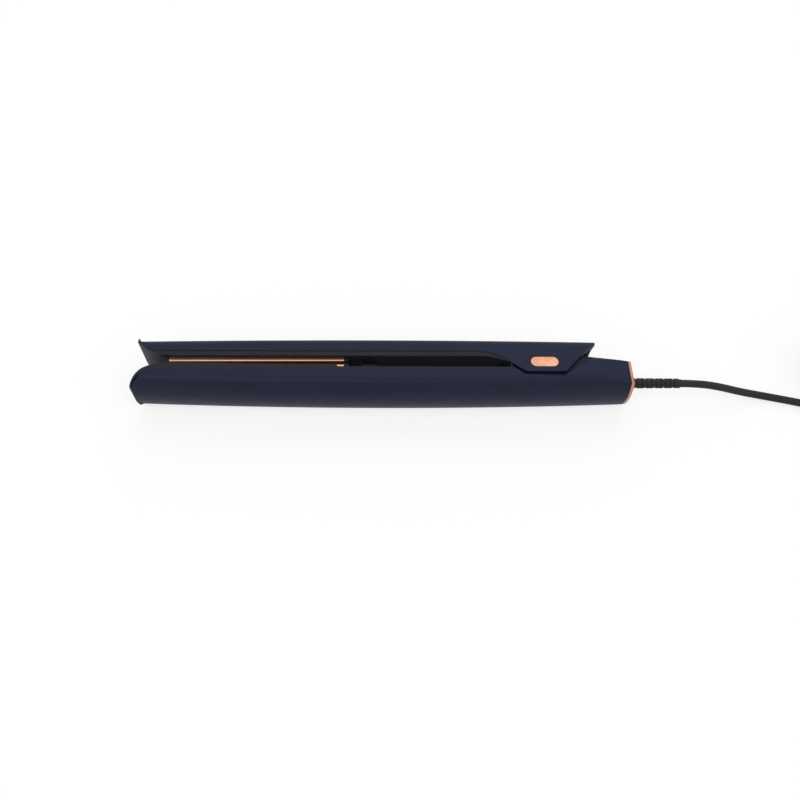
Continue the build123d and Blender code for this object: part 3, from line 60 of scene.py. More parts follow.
# Places in millimetres: along from the tip, across the two arms, up from the floor
ALONG_MIDDLE = 145.3
ACROSS_MIDDLE = 16.8
SIDE_MIDDLE = 15.5
LEAD_DIAMETER = 4.6
LEAD_MIDDLE = 11.0
RELIEF_ROOT_AT = 291.7
RELIEF_TIP_AT = 321.7
RELIEF_BORE = 6.0

# Camera: its place in metres, its turns in degrees, its lens and sensor in millimetres
CAMERA_AT = (0.00035, -0.25354, 0.40793)
CAMERA_PITCH = 58.979
CAMERA_HEADING = 2.14
CAMERA_ROLL = 1.942
CAMERA_LENS = 35.298
CAMERA_SENSOR = 36

# Studio: half the floor's side in metres, and how wide the lamps look in degrees
FLOOR_REACH = 6
LAMP_WIDTH = 50

# Materials: where most noise values lie, and spacings in millimetres
NOISE_LOW = 0.3
NOISE_HIGH = 0.7
WRAP_SPACING = 5.6547
TRACK_SPACING = 1.6

# Shells
HALF_WIDTH = 15.5
ARCH_RADIUS = 29.0
SHOULDER_RADIUS = 5.0
BODY_MIDDLE = 144.95
LOWER_CROWN = -1.85
LOWER_CROWN_RADIUS = 3625.0
UPPER_CROWN = 35.45
UPPER_CROWN_RADIUS = 7000.0
HOUSING_CROWN_AT = 265.0
HOUSING_CROWN = 24.3
HOUSING_SLOPE = math.radians(7.34)
TAPER_AT = 271.3
TAPER_TURN = math.atan(0.2)
PARTING = 11.0
SEAM_START = 256.3
HOUSING_END = 288.3
# width, rise and depth of the strip of painted shadow along the seam
SEAM_WIDTH = 0.35
SEAM_PROUD = 0.01
SEAM_DEPTH = 0.15

# How the shells' backs are told from their other facets, and how finely they are cut
BACK_FACING = 0.8
TAPER_FACING = 0.9
TAPER_OFF = 0.02
CURVED = 0.05
FAIRING_ROUNDS = 5
CREASE_ROUNDS = 8
FACET_TURN = math.radians(8)
SHARP_TURN = math.radians(35)
# these are in metres
FACET_LENGTH = 0.02
CORNER_OFF = 4e-5
FACET_OFF = 3e-4
SLIVER = 2e-5
SHELL_WELD = 1e-6
WELD = 1e-7

# Printed marks of the keys
MARK_WIDTH = 0.34
MARK_THICKNESS = 0.04
ROUND_STEPS = 8

# Strain relief: barrel in the housing, bridges between the rings
BARREL_RADIUS = 2.3
BARREL_LENGTH = 9.4
BARREL_OVERLAP = 0.4
# metres
BRIDGE_SIZE = (0.0018, 0.0018, 0.0007)
RING_ROUNDING = 0.0003

# Screws: places along and across, and shares of the head and the shank
LOWER_SCREWS = ((133.0, 11.6), (188.5, 11.6), (229.0, 12.0))
UPPER_SCREWS = ((150.0, 21.0), (192.0, 21.0))
SCREW_SEED = 7
HEAD_TAPER = 0.8
BAR_SHARE = 0.96
THREAD_SHARE = 0.85
TOOTH_SHARE = 0.6
FULL_TURN = 6.2832

# Hinge spring, cushions and plug
PIVOT_ALONG = 238.4
PIVOT_ACROSS = 16.2
SPRING_WIRE = 1.1
SPRING_RADIUS = 4.2
SPRING_LOW = 10.7
SPRING_HIGH = 20.3
SPRING_FIRST = -107.43
SPRING_LAST = 1524.62
SPRING_POINTS = 180
FIXED_LEG = 9.5
MOVING_LEG = 36.5
PLUG_SHOULDER = 17.0
SLEEVE_WALL = 0.35
SLEEVE_LENGTH = 10.0
PIN_ROUNDING = 0.95

# Put-away hank of the lead
HANK_START = 431.0
HANK_RUN = 72.0
HANK_MIDDLE = 23.0
HANK_FLOOR = 3.15
HANK_INNER_RADIUS = 13.8
HANK_STEP = 5.7
HANK_LAYERS = 4
HANK_STEPS_IN = 3
HANK_WAIST = 8.5
PLUG_SIDE = 7.0
FOLD_POINTS = 6
# a smooth fold runs this much inside its points
FOLD_INSIDE = 0.966
RUN_POINTS = 5

# Lead from the strain relief down to the floor
LEAD_DROP = (
    (RELIEF_TIP_AT - RELIEF_BORE, LEAD_MIDDLE, SIDE_MIDDLE),
    (331, LEAD_MIDDLE, SIDE_MIDDLE),
    (346, 11.3, 11.6),
    (360, 11.4, 6.0),
    (375, 10.3, 2.9),
    (392, 6.8, 2.6),
    (408, 2.6, 2.8),
    (416.4, 0.65, HANK_FLOOR),
    (426.4, 0.65, HANK_FLOOR),
)


def place(along, across, up):
    """Point in metres for a place in millimetres along, across and up."""
    return Vector((along - ALONG_MIDDLE, across - ACROSS_MIDDLE, up)) / 1000


def colour(hex_value):
    """Linear colour of an sRGB hex value."""
    channels = [int(hex_value[i : i + 2], 16) / 255 for i in (0, 2, 4)]
    linear = [c / 12.92 if c <= 0.04045 else ((c + 0.055) / 1.055) ** 2.4 for c in channels]
    return (*linear, 1.0)


def add_node(tree, kind, inputs=None, **settings):
    """Add one node with its settings; inputs hold plain values, or outputs to link."""
    made = tree.nodes.new(kind)
    for name, value in settings.items():
        setattr(made, name, value)
    for name, value in (inputs or {}).items():
        if isinstance(value, bpy.types.NodeSocket):
            tree.links.new(value, made.inputs[name])
        else:
            made.inputs[name].default_value = value
    return made


def maths(tree, kind, *values):
    """One sum in a tree."""
    return add_node(tree, "ShaderNodeMath", dict(enumerate(values)), operation=kind).outputs[0]


def fresh_tree(owner):
    """Emptied node tree of a material or a world."""
    owner.use_nodes = True
    owner.node_tree.nodes.clear()
    return owner.node_tree


def new_object(name, data):
    """Put a mesh or a curve in the scene under its name."""
    made = bpy.data.objects.new(name, data)
    scene.collection.objects.link(made)
    return made


def round_line(name, kind, points, radius, fineness):
    """Curve of one round line through points."""
    line = bpy.data.curves.new(name, "CURVE")
    line.dimensions = "3D"
    line.bevel_depth = radius
    line.bevel_resolution = fineness
    line.use_fill_caps = True
    spline = line.splines.new(kind)
    spline.points.add(len(points) - 1)
    for point, at in zip(spline.points, points):
        point.co = (*at, 1)
    return line


def as_mesh(source, host, name):
    """Plain mesh of an object, as source shows it; host is the object, and it goes."""
    mesh = bpy.data.meshes.new_from_object(source)
    host.modifiers.clear()
    bpy.data.objects.remove(host)
    mesh.name = name
    return mesh


def mesh_of(shape, name):
    """Mesh of what mesh code made."""
    mesh = bpy.data.meshes.new(name)
    shape.to_mesh(mesh)
    shape.free()
    return mesh


def wall(shape, first, last):
    """Faces between two rings of corners."""
    for n in range(len(first)):
        m = (n + 1) % len(first)
        shape.faces.new((first[n], first[m], last[m], last[n]))


# Camera, above the near edge and looking down at the flat side of both arms
def aim_camera():
    """Camera at the photograph's place, pitch, heading and roll."""
    pitch, heading, roll = (math.radians(a) for a in (CAMERA_PITCH, CAMERA_HEADING, CAMERA_ROLL))
    out = math.cos(pitch)
    forward = Vector((math.sin(heading) * out, math.cos(heading) * out, -math.sin(pitch)))
    level = Vector((math.cos(heading), -math.sin(heading), 0))
    above = level.cross(forward)
    right = math.cos(roll) * level + math.sin(roll) * above
    up = right.cross(forward)
    lens = bpy.data.cameras.new("camera")
    lens.lens = CAMERA_LENS
    lens.sensor_width = CAMERA_SENSOR
    camera = new_object("camera", lens)
    turn = Matrix((right, up, -forward)).transposed()
    camera.matrix_world = Matrix.Translation(CAMERA_AT) @ turn.to_4x4()
    scene.camera = camera


aim_camera()
scene.view_settings.view_transform = "Standard"


# Lead, one smooth line from the strain relief down to the floor, then through the tied hank
def smooth_step(t):
    """Ease from 0 to 1."""
    return 3 * t**2 - 2 * t**3


def hank_route():
    """Points of the hank: runs drawn in at the waist, folds round each end, up to the plug."""
    points = []
    runs = HANK_LAYERS * HANK_STEPS_IN + 1
    radii, lows, highs = [], [], []
    for n in range(runs):
        layer, step = divmod(n, HANK_STEPS_IN)
        inward = HANK_STEPS_IN - step if layer % 2 == 0 else step
        radii.append(HANK_INNER_RADIUS + inward * HANK_STEP / 2)
        highs.append(HANK_FLOOR + layer * HANK_STEP)
        lows.append(highs[-1] - (HANK_STEP if step == 0 and n > 0 else 0))
    plug_up = sum(corner.z * 500 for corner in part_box("plug_body"))
    radii.append(PLUG_SIDE)
    lows.append(plug_up)
    for n in range(runs):
        way = 1 if n % 2 == 0 else -1
        for i in range(1, RUN_POINTS + 1):
            t = i / (RUN_POINTS + 1)
            drawn_in = HANK_WAIST * (1 - math.cos(2 * math.pi * t)) / 2
            climb = smooth_step(max(0, 2 * t - 1)) if n == runs - 1 else smooth_step(t)
            along = HANK_START + HANK_RUN * (t if way == 1 else 1 - t)
            across = HANK_MIDDLE - way * (radii[n] - drawn_in)
            points.append(place(along, across, lows[n] + (highs[n] - lows[n]) * climb))
        end = HANK_START + (HANK_RUN if way == 1 else 0)
        outside = (radii[n] + radii[n + 1]) / 2 / FOLD_INSIDE
        middle = HANK_MIDDLE + way * (radii[n + 1] - radii[n]) / 2
        for i in range(FOLD_POINTS):
            turned = (i + 0.5) / FOLD_POINTS
            along = end + way * outside * math.sin(math.pi * turned)
            across = middle - way * outside * math.cos(math.pi * turned)
            up = highs[n] + (lows[n + 1] - highs[n]) * smooth_step(turned)
            points.append(place(along, across, up))
    for along in (HANK_START + HANK_RUN, HANK_START + HANK_RUN - LEAD_DIAMETER):
        points.append(place(along, HANK_MIDDLE + PLUG_SIDE, plug_up))
    return points


def lay_lead():
    """The whole lead as one curve with a round section."""
    route = [place(*at) for at in LEAD_DROP] + hank_route()
    line = round_line("lead", "NURBS", route, 1.0, 6)
    line.resolution_u = 8
    spline = line.splines[0]
    for point in spline.points:
        # the points carry the radius, because a curve's box grows by their radius
        point.radius = LEAD_DIAMETER / 2000
    spline.order_u = 3
    spline.use_endpoint_u = True
    return new_object("lead", line)


lead = lay_lead()
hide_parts("power_cord", "cord_hank")
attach(lead, "lower_arm")


# Studio: pale floor, white surroundings and three wide soft lamps
def by_ray(tree, lighting, seen):
    """One shader for the light it gives, the other where it is seen, mirrored or through glass."""
    path = add_node(tree, "ShaderNodeLightPath").outputs
    looked = maths(tree, "MAXIMUM", path["Is Camera Ray"], path["Is Glossy Ray"])
    looked = maths(tree, "MAXIMUM", looked, path["Is Transmission Ray"])
    shaders = {0: looked, 1: lighting.outputs[0], 2: seen.outputs[0]}
    return add_node(tree, "ShaderNodeMixShader", shaders).outputs[0]


def light_studio():
    """Floor, world and lamps."""
    scene.world = bpy.data.worlds.new("studio")
    tree = fresh_tree(scene.world)
    white = colour("ffffff")
    ambient = add_node(tree, "ShaderNodeBackground", {"Color": white, "Strength": 0.5})
    backdrop = add_node(tree, "ShaderNodeBackground", {"Color": white, "Strength": 1.0})
    add_node(tree, "ShaderNodeOutputWorld", {"Surface": by_ray(tree, ambient, backdrop)})

    paint = bpy.data.materials.new("floor, matt white paint")
    tree = fresh_tree(paint)
    matt = add_node(tree, "ShaderNodeBsdfDiffuse", {"Color": colour("e8e8e8")})
    part_matt = add_node(tree, "ShaderNodeBsdfDiffuse", {"Color": colour("969696")})
    glow = add_node(tree, "ShaderNodeEmission", {"Color": colour("dcdcdc"), "Strength": 1.0})
    lifted = add_node(tree, "ShaderNodeAddShader", {0: part_matt.outputs[0], 1: glow.outputs[0]})
    add_node(tree, "ShaderNodeOutputMaterial", {"Surface": by_ray(tree, matt, lifted)})
    shape = bmesh.new()
    bmesh.ops.create_grid(shape, x_segments=1, y_segments=1, size=FLOOR_REACH)
    mesh = mesh_of(shape, "floor")
    mesh.materials.append(paint)
    new_object("floor", mesh)

    for name, strength, at in (
        ("key lamp", 0.85, (-0.45, -0.55, 1.05)),
        ("fill lamp", 0.5, (0.75, -0.35, 0.8)),
        ("back lamp", 0.6, (0.1, 0.85, 0.75)),
    ):
        lamp = bpy.data.lights.new(name, "SUN")
        lamp.energy = strength
        lamp.angle = math.radians(LAMP_WIDTH)
        hung = new_object(name, lamp)
        hung.location = at
        hung.rotation_euler = (-Vector(at)).to_track_quat("-Z", "Y").to_euler()


light_studio()


# Materials
def finish(name, base, **shader_values):
    """New material with one Principled shader."""
    made = bpy.data.materials.new(name)
    tree = fresh_tree(made)
    inputs = {"Base Color": colour(base)}
    inputs.update({key.replace("_", " "): value for key, value in shader_values.items()})
    shader = add_node(tree, "ShaderNodeBsdfPrincipled", inputs)
    add_node(tree, "ShaderNodeOutputMaterial", {"Surface": shader.outputs[0]})
    add_node(tree, "ShaderNodeTexCoord")
    return made


def shade(made, output, name):
    """Link an output to a named input of a material's shader."""
    tree = made.node_tree
    tree.links.new(output, tree.nodes["Principled BSDF"].inputs[name])


def where(made, **how):
    """Place on the piece in metres, with a Scale or a Rotation."""
    place_on = made.node_tree.nodes["Texture Coordinate"].outputs["Object"]
    if not how:
        return place_on
    inputs = {"Vector": place_on, **how}
    return add_node(made.node_tree, "ShaderNodeMapping", inputs).outputs[0]


def grain(made, size, detail=2.0, roughness=0.5, stretch=None):
    """Noise whose grains are size millimetres across, longer along an axis where stretched."""
    at = where(made, Scale=tuple(1 / s for s in stretch)) if stretch else where(made)
    inputs = {"Vector": at, "Scale": 1000 / size, "Detail": detail, "Roughness": roughness}
    return add_node(made.node_tree, "ShaderNodeTexNoise", inputs).outputs["Fac"]


def spread(made, noise, low, high):
    """Map a noise value to the range from low to high."""
    ends = {"From Min": NOISE_LOW, "From Max": NOISE_HIGH, "To Min": low, "To Max": high}
    return add_node(made.node_tree, "ShaderNodeMapRange", {"Value": noise, **ends}).outputs[0]


def relief(made, height, depth, strength):
    """Bump from a height; depth is in millimetres."""
    inputs = {"Height": height, "Distance": depth / 1000, "Strength": strength}
    shade(made, add_node(made.node_tree, "ShaderNodeBump", inputs).outputs[0], "Normal")


def tint(made, value, first, second):
    """Base colour that goes from the first to the second with a value from 0 to 1."""
    inputs = {"Factor": value, "A": colour(first), "B": colour(second)}
    mixed = add_node(made.node_tree, "ShaderNodeMix", inputs, data_type="RGBA")
    shade(made, mixed.outputs["Result"], "Base Color")


def dapple(made, noise, first, second):
    """Base colour that goes from the first to the second with a noise value."""
    tint(made, spread(made, noise, 0, 1), first, second)


def roughen(made, noise, low, high):
    """Roughness that goes from low to high with a noise value."""
    shade(made, spread(made, noise, low, high), "Roughness")


def follow(made, noise, tints, rough=None, bump=None):
    """Colour, and where given roughness and bump, that follow one noise value."""
    dapple(made, noise, *tints)
    if rough:
        roughen(made, noise, *rough)
    if bump:
        relief(made, noise, *bump)
    return made


def soft_touch_lacquer():
    """Moulded ABS under a sprayed soft-touch coat: deep blue, velvety, with faint orange peel."""
    made = finish(
        "soft-touch lacquer, sprayed on moulded ABS",
        "171b2d",
        Roughness=0.48,
        IOR=1.5,
        Specular_IOR_Level=0.14,
    )
    # cloudy coat thickness over 20 mm, and overspray specks drawn at 0.4 mm to show
    clouds = grain(made, 20, detail=3)
    specks = grain(made, 0.4, detail=1)
    dapple(made, maths(made.node_tree, "MULTIPLY_ADD", clouds, specks, 0.35), "141829", "1b2036")
    roughen(made, grain(made, 7, detail=4), 0.45, 0.51)
    # orange peel, real spacing about 0.8 mm
    relief(made, grain(made, 0.8, detail=3), 0.02, 0.5)
    return made


def sparked_nylon(name, base, lighter, rough=0.6, spacing=0.5):
    """Glass-filled nylon from a spark-eroded mould: near black, dry, with a tight even grain."""
    made = finish(name, base, Roughness=rough, IOR=1.53, Specular_IOR_Level=0.2)
    # real grain is about 0.15 mm; the spacing is coarser to show
    pits = grain(made, spacing, detail=4, roughness=0.65)
    roughen(made, grain(made, 5), rough - 0.05, rough + 0.06)
    return follow(made, pits, (base, lighter), bump=(0.05, 0.7))


def copper_plating():
    """Copper electroplate on ABS, satin: warm pink metal with a soft grain."""
    made = finish("copper electroplate on ABS, satin", "b78468", Metallic=1.0, Roughness=0.3)
    # blasting before plating leaves a grain of about 0.2 mm; drawn at 0.35 mm to show
    blasted = grain(made, 0.35, detail=2)
    dapple(made, grain(made, 6, detail=3), "a8735a", "c49279")
    roughen(made, blasted, 0.25, 0.36)
    relief(made, blasted, 0.01, 0.4)
    return made


def coated_plate():
    """Extruded aluminium with a sprayed and polished ceramic coat: copper tone, lengthwise lay."""
    made = finish(
        "ceramic coat on extruded aluminium, polished", "b4886f", Metallic=0.9, Roughness=0.24
    )
    # polishing lines 0.3 mm apart and about 25 mm long, drawn coarser than the real 0.05 mm
    lines = grain(made, 0.3, detail=3, stretch=(80, 1, 1))
    return follow(made, lines, ("a87a62", "c3977f"), (0.18, 0.32), (0.004, 0.5))


def moulded_silicone(name, base, darker):
    """Compression-moulded silicone: matt, slightly soft at the edges, with a dusty bloom."""
    made = finish(
        name, base, Roughness=0.62, IOR=1.41, Subsurface_Weight=0.12, Subsurface_Scale=0.001
    )
    dapple(made, grain(made, 3, detail=5), base, darker)
    # mould grain of 0.4 mm
    relief(made, grain(made, 0.4), 0.02, 0.4)
    return made


def drawn_steel():
    """Drawn and stamped steel: grey, with fine lines along the strip."""
    made = finish("spring steel, drawn and stamped", "9a9a9c", Metallic=1.0, Roughness=0.34)
    lines = grain(made, 0.25, detail=3, stretch=(40, 1, 1))
    return follow(made, lines, ("86868a", "aeaeb0"), (0.28, 0.44), (0.006, 0.4))


def zinc_screw():
    """Cold-headed steel, zinc plated: bright grey with a faint warm haze."""
    made = finish("cold-headed steel, zinc plated", "a7a6a2", Metallic=1.0, Roughness=0.3)
    return follow(made, grain(made, 1.2, detail=4), ("9b9a94", "b9b7ae"), (0.24, 0.4))


def wrapped_heater():
    """Heater bar in wound insulating film: pale, glossy, with the edge of each wrap showing."""
    made = finish("ceramic heater wound in insulating film", "cfc9bd", Roughness=0.28, IOR=1.6)
    # the film is wound on a slant; a wave repeats every pi / 10 at a scale of 1
    wraps = add_node(
        made.node_tree,
        "ShaderNodeTexWave",
        {
            "Vector": where(made, Rotation=(0, 0.5, 0)),
            "Scale": 100 * math.pi / WRAP_SPACING,
            "Distortion": 0.3,
            "Detail": 2.0,
        },
        wave_profile="SAW",
        bands_direction="X",
    ).outputs["Fac"]
    tint(made, wraps, "c4b79c", "d9d3c6")
    relief(made, wraps, 0.08, 0.5)
    return made


def tinted_acrylic():
    """Smoked acrylic, moulded and polished: near black and mirror smooth, with fine wipe marks."""
    made = finish(
        "smoked acrylic, moulded and polished",
        "08090c",
        Roughness=0.05,
        IOR=1.49,
        Specular_IOR_Level=0.3,
    )
    # wipe marks 0.3 mm wide and about 9 mm long
    roughen(made, grain(made, 0.3, detail=3, stretch=(30, 1, 4)), 0.03, 0.11)
    dapple(made, grain(made, 9), "07080b", "0c0e13")
    return made


def key_plastic():
    """Moulded ABS keys: smooth satin, a little lighter than the shells."""
    made = finish("satin ABS, moulded keys", "2b2f40", Roughness=0.42, IOR=1.54)
    return follow(made, grain(made, 0.3, detail=3), ("272b3b", "323748"), bump=(0.015, 0.5))


def printed_ink():
    """Pad-printed copper ink: flat, with a slight grain."""
    made = finish("copper ink, pad printed", "c8967c", Metallic=0.5, Roughness=0.4)
    return follow(made, grain(made, 0.15), ("bc8970", "d1a289"))


def board_laminate():
    """Etched glass-fibre laminate under green solder mask: glossy, with tracks showing through."""
    made = finish("glass-fibre laminate, etched, green mask", "1e4a34", Roughness=0.3, IOR=1.55)
    # the tracks are the joints between long flat bricks; each is about 0.8 mm wide
    tracks = add_node(
        made.node_tree,
        "ShaderNodeTexBrick",
        {
            "Vector": where(made, Rotation=(math.pi / 2, 0, 0)),
            "Color1": colour("1b4531"),
            "Color2": colour("205039"),
            "Mortar": colour("2f6b49"),
            "Scale": 250 / TRACK_SPACING,
            "Mortar Size": 0.06,
            "Brick Width": 1.3,
            "Row Height": 0.25,
        },
    ).outputs
    shade(made, tracks["Color"], "Base Color")
    relief(made, tracks["Fac"], 0.03, 0.6)
    return made


def moulded_case():
    """Epoxy-moulded component cases: dark grey, fine dry grain."""
    made = finish("epoxy moulding, component cases", "3a3a40", Roughness=0.55, IOR=1.56)
    return follow(made, grain(made, 0.3, detail=4), ("34343a", "44444b"), bump=(0.03, 0.5))


def lead_jacket():
    """Extruded soft PVC jacket: matt black, with a faint skin texture."""
    made = finish(
        "soft PVC, extruded lead jacket",
        "0f1013",
        Roughness=0.52,
        IOR=1.53,
        Specular_IOR_Level=0.25,
    )
    roughen(made, grain(made, 8), 0.46, 0.6)
    return follow(made, grain(made, 0.6, detail=4), ("0d0e11", "15161a"), bump=(0.03, 0.5))


def plug_plastic():
    """Injection-moulded PVC over the plug: matt black with an even mould grain."""
    made = finish(
        "PVC, moulded plug and tie", "0f1013", Roughness=0.56, IOR=1.53, Specular_IOR_Level=0.25
    )
    fine = grain(made, 0.5, detail=4, roughness=0.6)
    return follow(made, fine, ("0e0f12", "16171b"), bump=(0.05, 0.6))


def nickel_pin():
    """Turned brass, nickel plated: bright, with faint turning rings."""
    made = finish("turned brass, nickel plated", "b9b6ae", Metallic=1.0, Roughness=0.22)
    rings = grain(made, 0.2, detail=2, stretch=(1, 20, 20))
    return follow(made, rings, ("aeaaa0", "c6c3bb"), (0.17, 0.3))


def bearing_plastic():
    """Moulded acetal bushes: milky, waxy and smooth."""
    made = finish(
        "acetal, moulded bushes",
        "c9c7bf",
        Roughness=0.36,
        IOR=1.48,
        Subsurface_Weight=0.2,
        Subsurface_Scale=0.001,
    )
    return follow(made, grain(made, 2.5, detail=3), ("c2bfb5", "d3d1ca"))


lacquer = soft_touch_lacquer()
nylon = sparked_nylon("glass-filled nylon, spark-eroded mould", "101218", "1b1d25")
steel = drawn_steel()
zinc = zinc_screw()
ink = printed_ink()
jacket = lead_jacket()
plug_pvc = plug_plastic()
nickel = nickel_pin()
red_silicone = moulded_silicone("silicone, compression moulded, red", "8f3b2e", "7d3227")


def both(*pieces):
    """Names of pieces that each arm has."""
    return tuple(f"{arm}_{piece}" for piece in pieces for arm in ("lower", "upper"))


FINISHES = {
    lacquer: (*both("shell"), "rear_cover"),
    nylon: (*both("inner_cover", "plate_carrier"), "control_pad", "lock_keeper"),
    sparked_nylon("heat-proof nylon, plate end caps", "131417", "1f2026", 0.54, 0.35): both(
        "front_cap", "rear_cap"
    ),
    copper_plating(): ("end_ring", "swivel_collar", "hinge_caps", "lock_slider"),
    coated_plate(): both("plate"),
    steel: (*both("heater_clip"), "hinge_pin", "hinge_spring"),
    zinc: both("screws"),
    wrapped_heater(): both("heater"),
    tinted_acrylic(): ("display_window",),
    key_plastic(): ("key_less", "key_power", "key_more"),
    board_laminate(): ("control_board",),
    moulded_case(): ("key_switches", "board_parts", "display_module"),
    jacket: ("power_cord", "cord_hank"),
    plug_pvc: ("plug_body", "cord_tie", "strain_relief"),
    nickel: ("plug_pins",),
    bearing_plastic(): ("hinge_bushes",),
    red_silicone: both("cushions"),
    moulded_silicone("silicone, compression moulded, dark grey", "202126", "2c2d33"): ("bumper",),
}


def dress(piece, material):
    """Put one material on every slot of a piece."""
    if not piece.data.materials:
        piece.data.materials.append(material)
    for slot in piece.material_slots:
        slot.material = material


for material, names in FINISHES.items():
    for name in names:
        dress(nodes[name], material)
dress(lead, jacket)


# Small pieces
def plain(name, mesh, material, body):
    """Put a finished mesh in the scene with its material, and let it ride on its body."""
    made = new_object(name, mesh)
    dress(made, material)
    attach(made, body)
    return made


def from_shape(name, shape, material, body):
    """Finish a piece made in mesh code."""
    bmesh.ops.remove_doubles(shape, verts=shape.verts, dist=WELD)
    bmesh.ops.recalc_face_normals(shape, faces=shape.faces)
    return plain(name, mesh_of(shape, name), material, body)


def stroke(shape, points, origin):
    """Printed line through points in millimetres on the deck, with round ends."""
    half = MARK_WIDTH / 2
    count = len(points)
    left, right = [], []
    for n, at in enumerate(points):
        before, after = points[max(n - 1, 0)], points[min(n + 1, count - 1)]
        run = Vector((after[0] - before[0], after[1] - before[1])).normalized()
        left.append((at[0] - run.y * half, at[1] + run.x * half))
        right.append((at[0] + run.y * half, at[1] - run.x * half))
    caps = []
    for at, side in ((points[-1], left[-1]), (points[0], right[0])):
        start = math.atan2(side[1] - at[1], side[0] - at[0])
        angles = [start - math.pi * k / ROUND_STEPS for k in range(1, ROUND_STEPS)]
        caps.append([(at[0] + half * math.cos(a), at[1] + half * math.sin(a)) for a in angles])
    outline = left + caps[0] + right[::-1] + caps[1]
    low = [shape.verts.new(origin + Vector((x, 0, z)) / 1000) for x, z in outline]
    high = [shape.verts.new(v.co + Vector((0, MARK_THICKNESS / 1000, 0))) for v in low]
    wall(shape, low, high)
    last = 2 * count + ROUND_STEPS - 2
    for level in (low, high):
        for n in range(count - 1):
            shape.faces.new((level[n], level[n + 1], level[last - n - 1], level[last - n]))
        shape.faces.new(level[count - 1 : count + ROUND_STEPS])
        shape.faces.new(level[last:] + level[:1])


def arc(radius, first, last, count):
    """Points of an arc round the middle, with angles in degrees."""
    step = (last - first) / (count - 1)
    angles = [math.radians(first + n * step) for n in range(count)]
    return [(radius * math.cos(a), radius * math.sin(a)) for a in angles]


KEY_MARKS = {
    "key_less": [[(0, -1.2), (0, 1.2)]],
    "key_power": [arc(1.15, 35, 325, 25), [(0.35, 0), (1.55, 0)]],
    "key_more": [[(0, -1.2), (0, 1.2)], [(-1.2, 0), (1.2, 0)]],
}
for key, strokes in KEY_MARKS.items():
    low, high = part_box(key)
    top = Vector(((low.x + high.x) / 2, high.y, (low.z + high.z) / 2))
    shape = bmesh.new()
    for points in strokes:
        stroke(shape, points, top)
    from_shape(key + "_mark", shape, ink, key.replace("key_", "") + "_key")


# Geometry trees for what repeats
def start_tree(name, **sizes):
    """Empty geometry tree with named inputs, each given as its first value or else as its kind."""
    tree = bpy.data.node_groups.new(name, "GeometryNodeTree")
    tree.interface.new_socket("Geometry", in_out="OUTPUT", socket_type="NodeSocketGeometry")
    for label, first in sizes.items():
        kind = first if isinstance(first, str) else {int: "Int", float: "Float"}[type(first)]
        label = label.replace("_", " ")
        socket = tree.interface.new_socket(label, in_out="INPUT", socket_type="NodeSocket" + kind)
        if kind != first:
            socket.default_value = first
    return tree, add_node(tree, "NodeGroupInput").outputs


def end_tree(tree, geometry):
    """Close a tree with real geometry that carries its material."""
    given = add_node(tree, "NodeGroupInput").outputs
    real = add_node(tree, "GeometryNodeRealizeInstances", {"Geometry": geometry}).outputs[0]
    inputs = {"Geometry": real, "Material": given["Finish"]}
    painted = add_node(tree, "GeometryNodeSetMaterial", inputs)
    add_node(tree, "NodeGroupOutput", {"Geometry": painted.outputs[0]})
    return tree


def grow(tree, name, points=(), **values):
    """Run a tree on an object made of points, and keep its result as a plain mesh."""
    seed_mesh = bpy.data.meshes.new(name + " points")
    seed_mesh.from_pydata([tuple(p) for p in points], [], [])
    host = new_object(name + " points", seed_mesh)
    modifier = host.modifiers.new("tree", "NODES")
    modifier.node_group = tree
    for item in tree.interface.items_tree:
        label = item.name.replace(" ", "_")
        if item.in_out == "INPUT" and label in values:
            modifier[item.identifier] = values[label]
    bpy.context.view_layer.update()
    graph = bpy.context.evaluated_depsgraph_get()
    return as_mesh(host.evaluated_get(graph), host, name)


def smooth(mesh):
    """Smooth shading except over sharp edges."""
    mesh.shade_smooth()
    mesh.set_sharp_from_angle(angle=SHARP_TURN)
    return mesh


def grown(tree, name, material, body, slot, points, **values):
    """Piece that a tree makes on points, finished."""
    mesh = grow(tree, name, points, Finish=material, **values)
    return plain(name, smooth(mesh), material, body)


def xyz(tree, **parts):
    """Vector; a part left out is 0."""
    return add_node(tree, "ShaderNodeCombineXYZ", parts).outputs[0]


def moved(tree, geometry, **how):
    """Geometry with a Translation or a Rotation."""
    return add_node(tree, "GeometryNodeTransform", {"Geometry": geometry, **how}).outputs[0]


def joined(tree, *pieces):
    """Pieces of geometry as one."""
    whole = add_node(tree, "GeometryNodeJoinGeometry")
    for piece in pieces:
        tree.links.new(piece, whole.inputs[0])
    return whole.outputs[0]


def block(tree, size):
    """Box round the middle."""
    return add_node(tree, "GeometryNodeMeshCube", {"Size": size}).outputs[0]


def cone(tree, sides, bottom, top, depth):
    """Solid cone along Z, round the middle."""
    inputs = {"Vertices": sides, "Radius Bottom": bottom, "Radius Top": top, "Depth": depth}
    return add_node(tree, "GeometryNodeMeshCone", inputs).outputs[0]


def circle(tree, sides, radius):
    """Round line."""
    inputs = {"Resolution": sides, "Radius": radius}
    return add_node(tree, "GeometryNodeCurvePrimitiveCircle", inputs).outputs[0]


def straight(tree, start, end):
    """Straight line."""
    inputs = {"Start": start, "End": end}
    return add_node(tree, "GeometryNodeCurvePrimitiveLine", inputs).outputs[0]


def swept(tree, line, section, caps=True):
    """Surface of a section drawn along a line."""
    inputs = {"Curve": line, "Profile Curve": section, "Fill Caps": caps}
    return add_node(tree, "GeometryNodeCurveToMesh", inputs).outputs[0]


def row(tree, count, pitch, first=0.0):
    """Points in a row along X."""
    inputs = {"Count": count, "Start Location": xyz(tree, X=first), "Offset": xyz(tree, X=pitch)}
    return add_node(tree, "GeometryNodeMeshLine", inputs, mode="OFFSET").outputs[0]


def on_points(tree, points, piece, **how):
    """A piece on each point, with a Rotation or a Scale."""
    inputs = {"Points": points, "Instance": piece, **how}
    return add_node(tree, "GeometryNodeInstanceOnPoints", inputs).outputs[0]


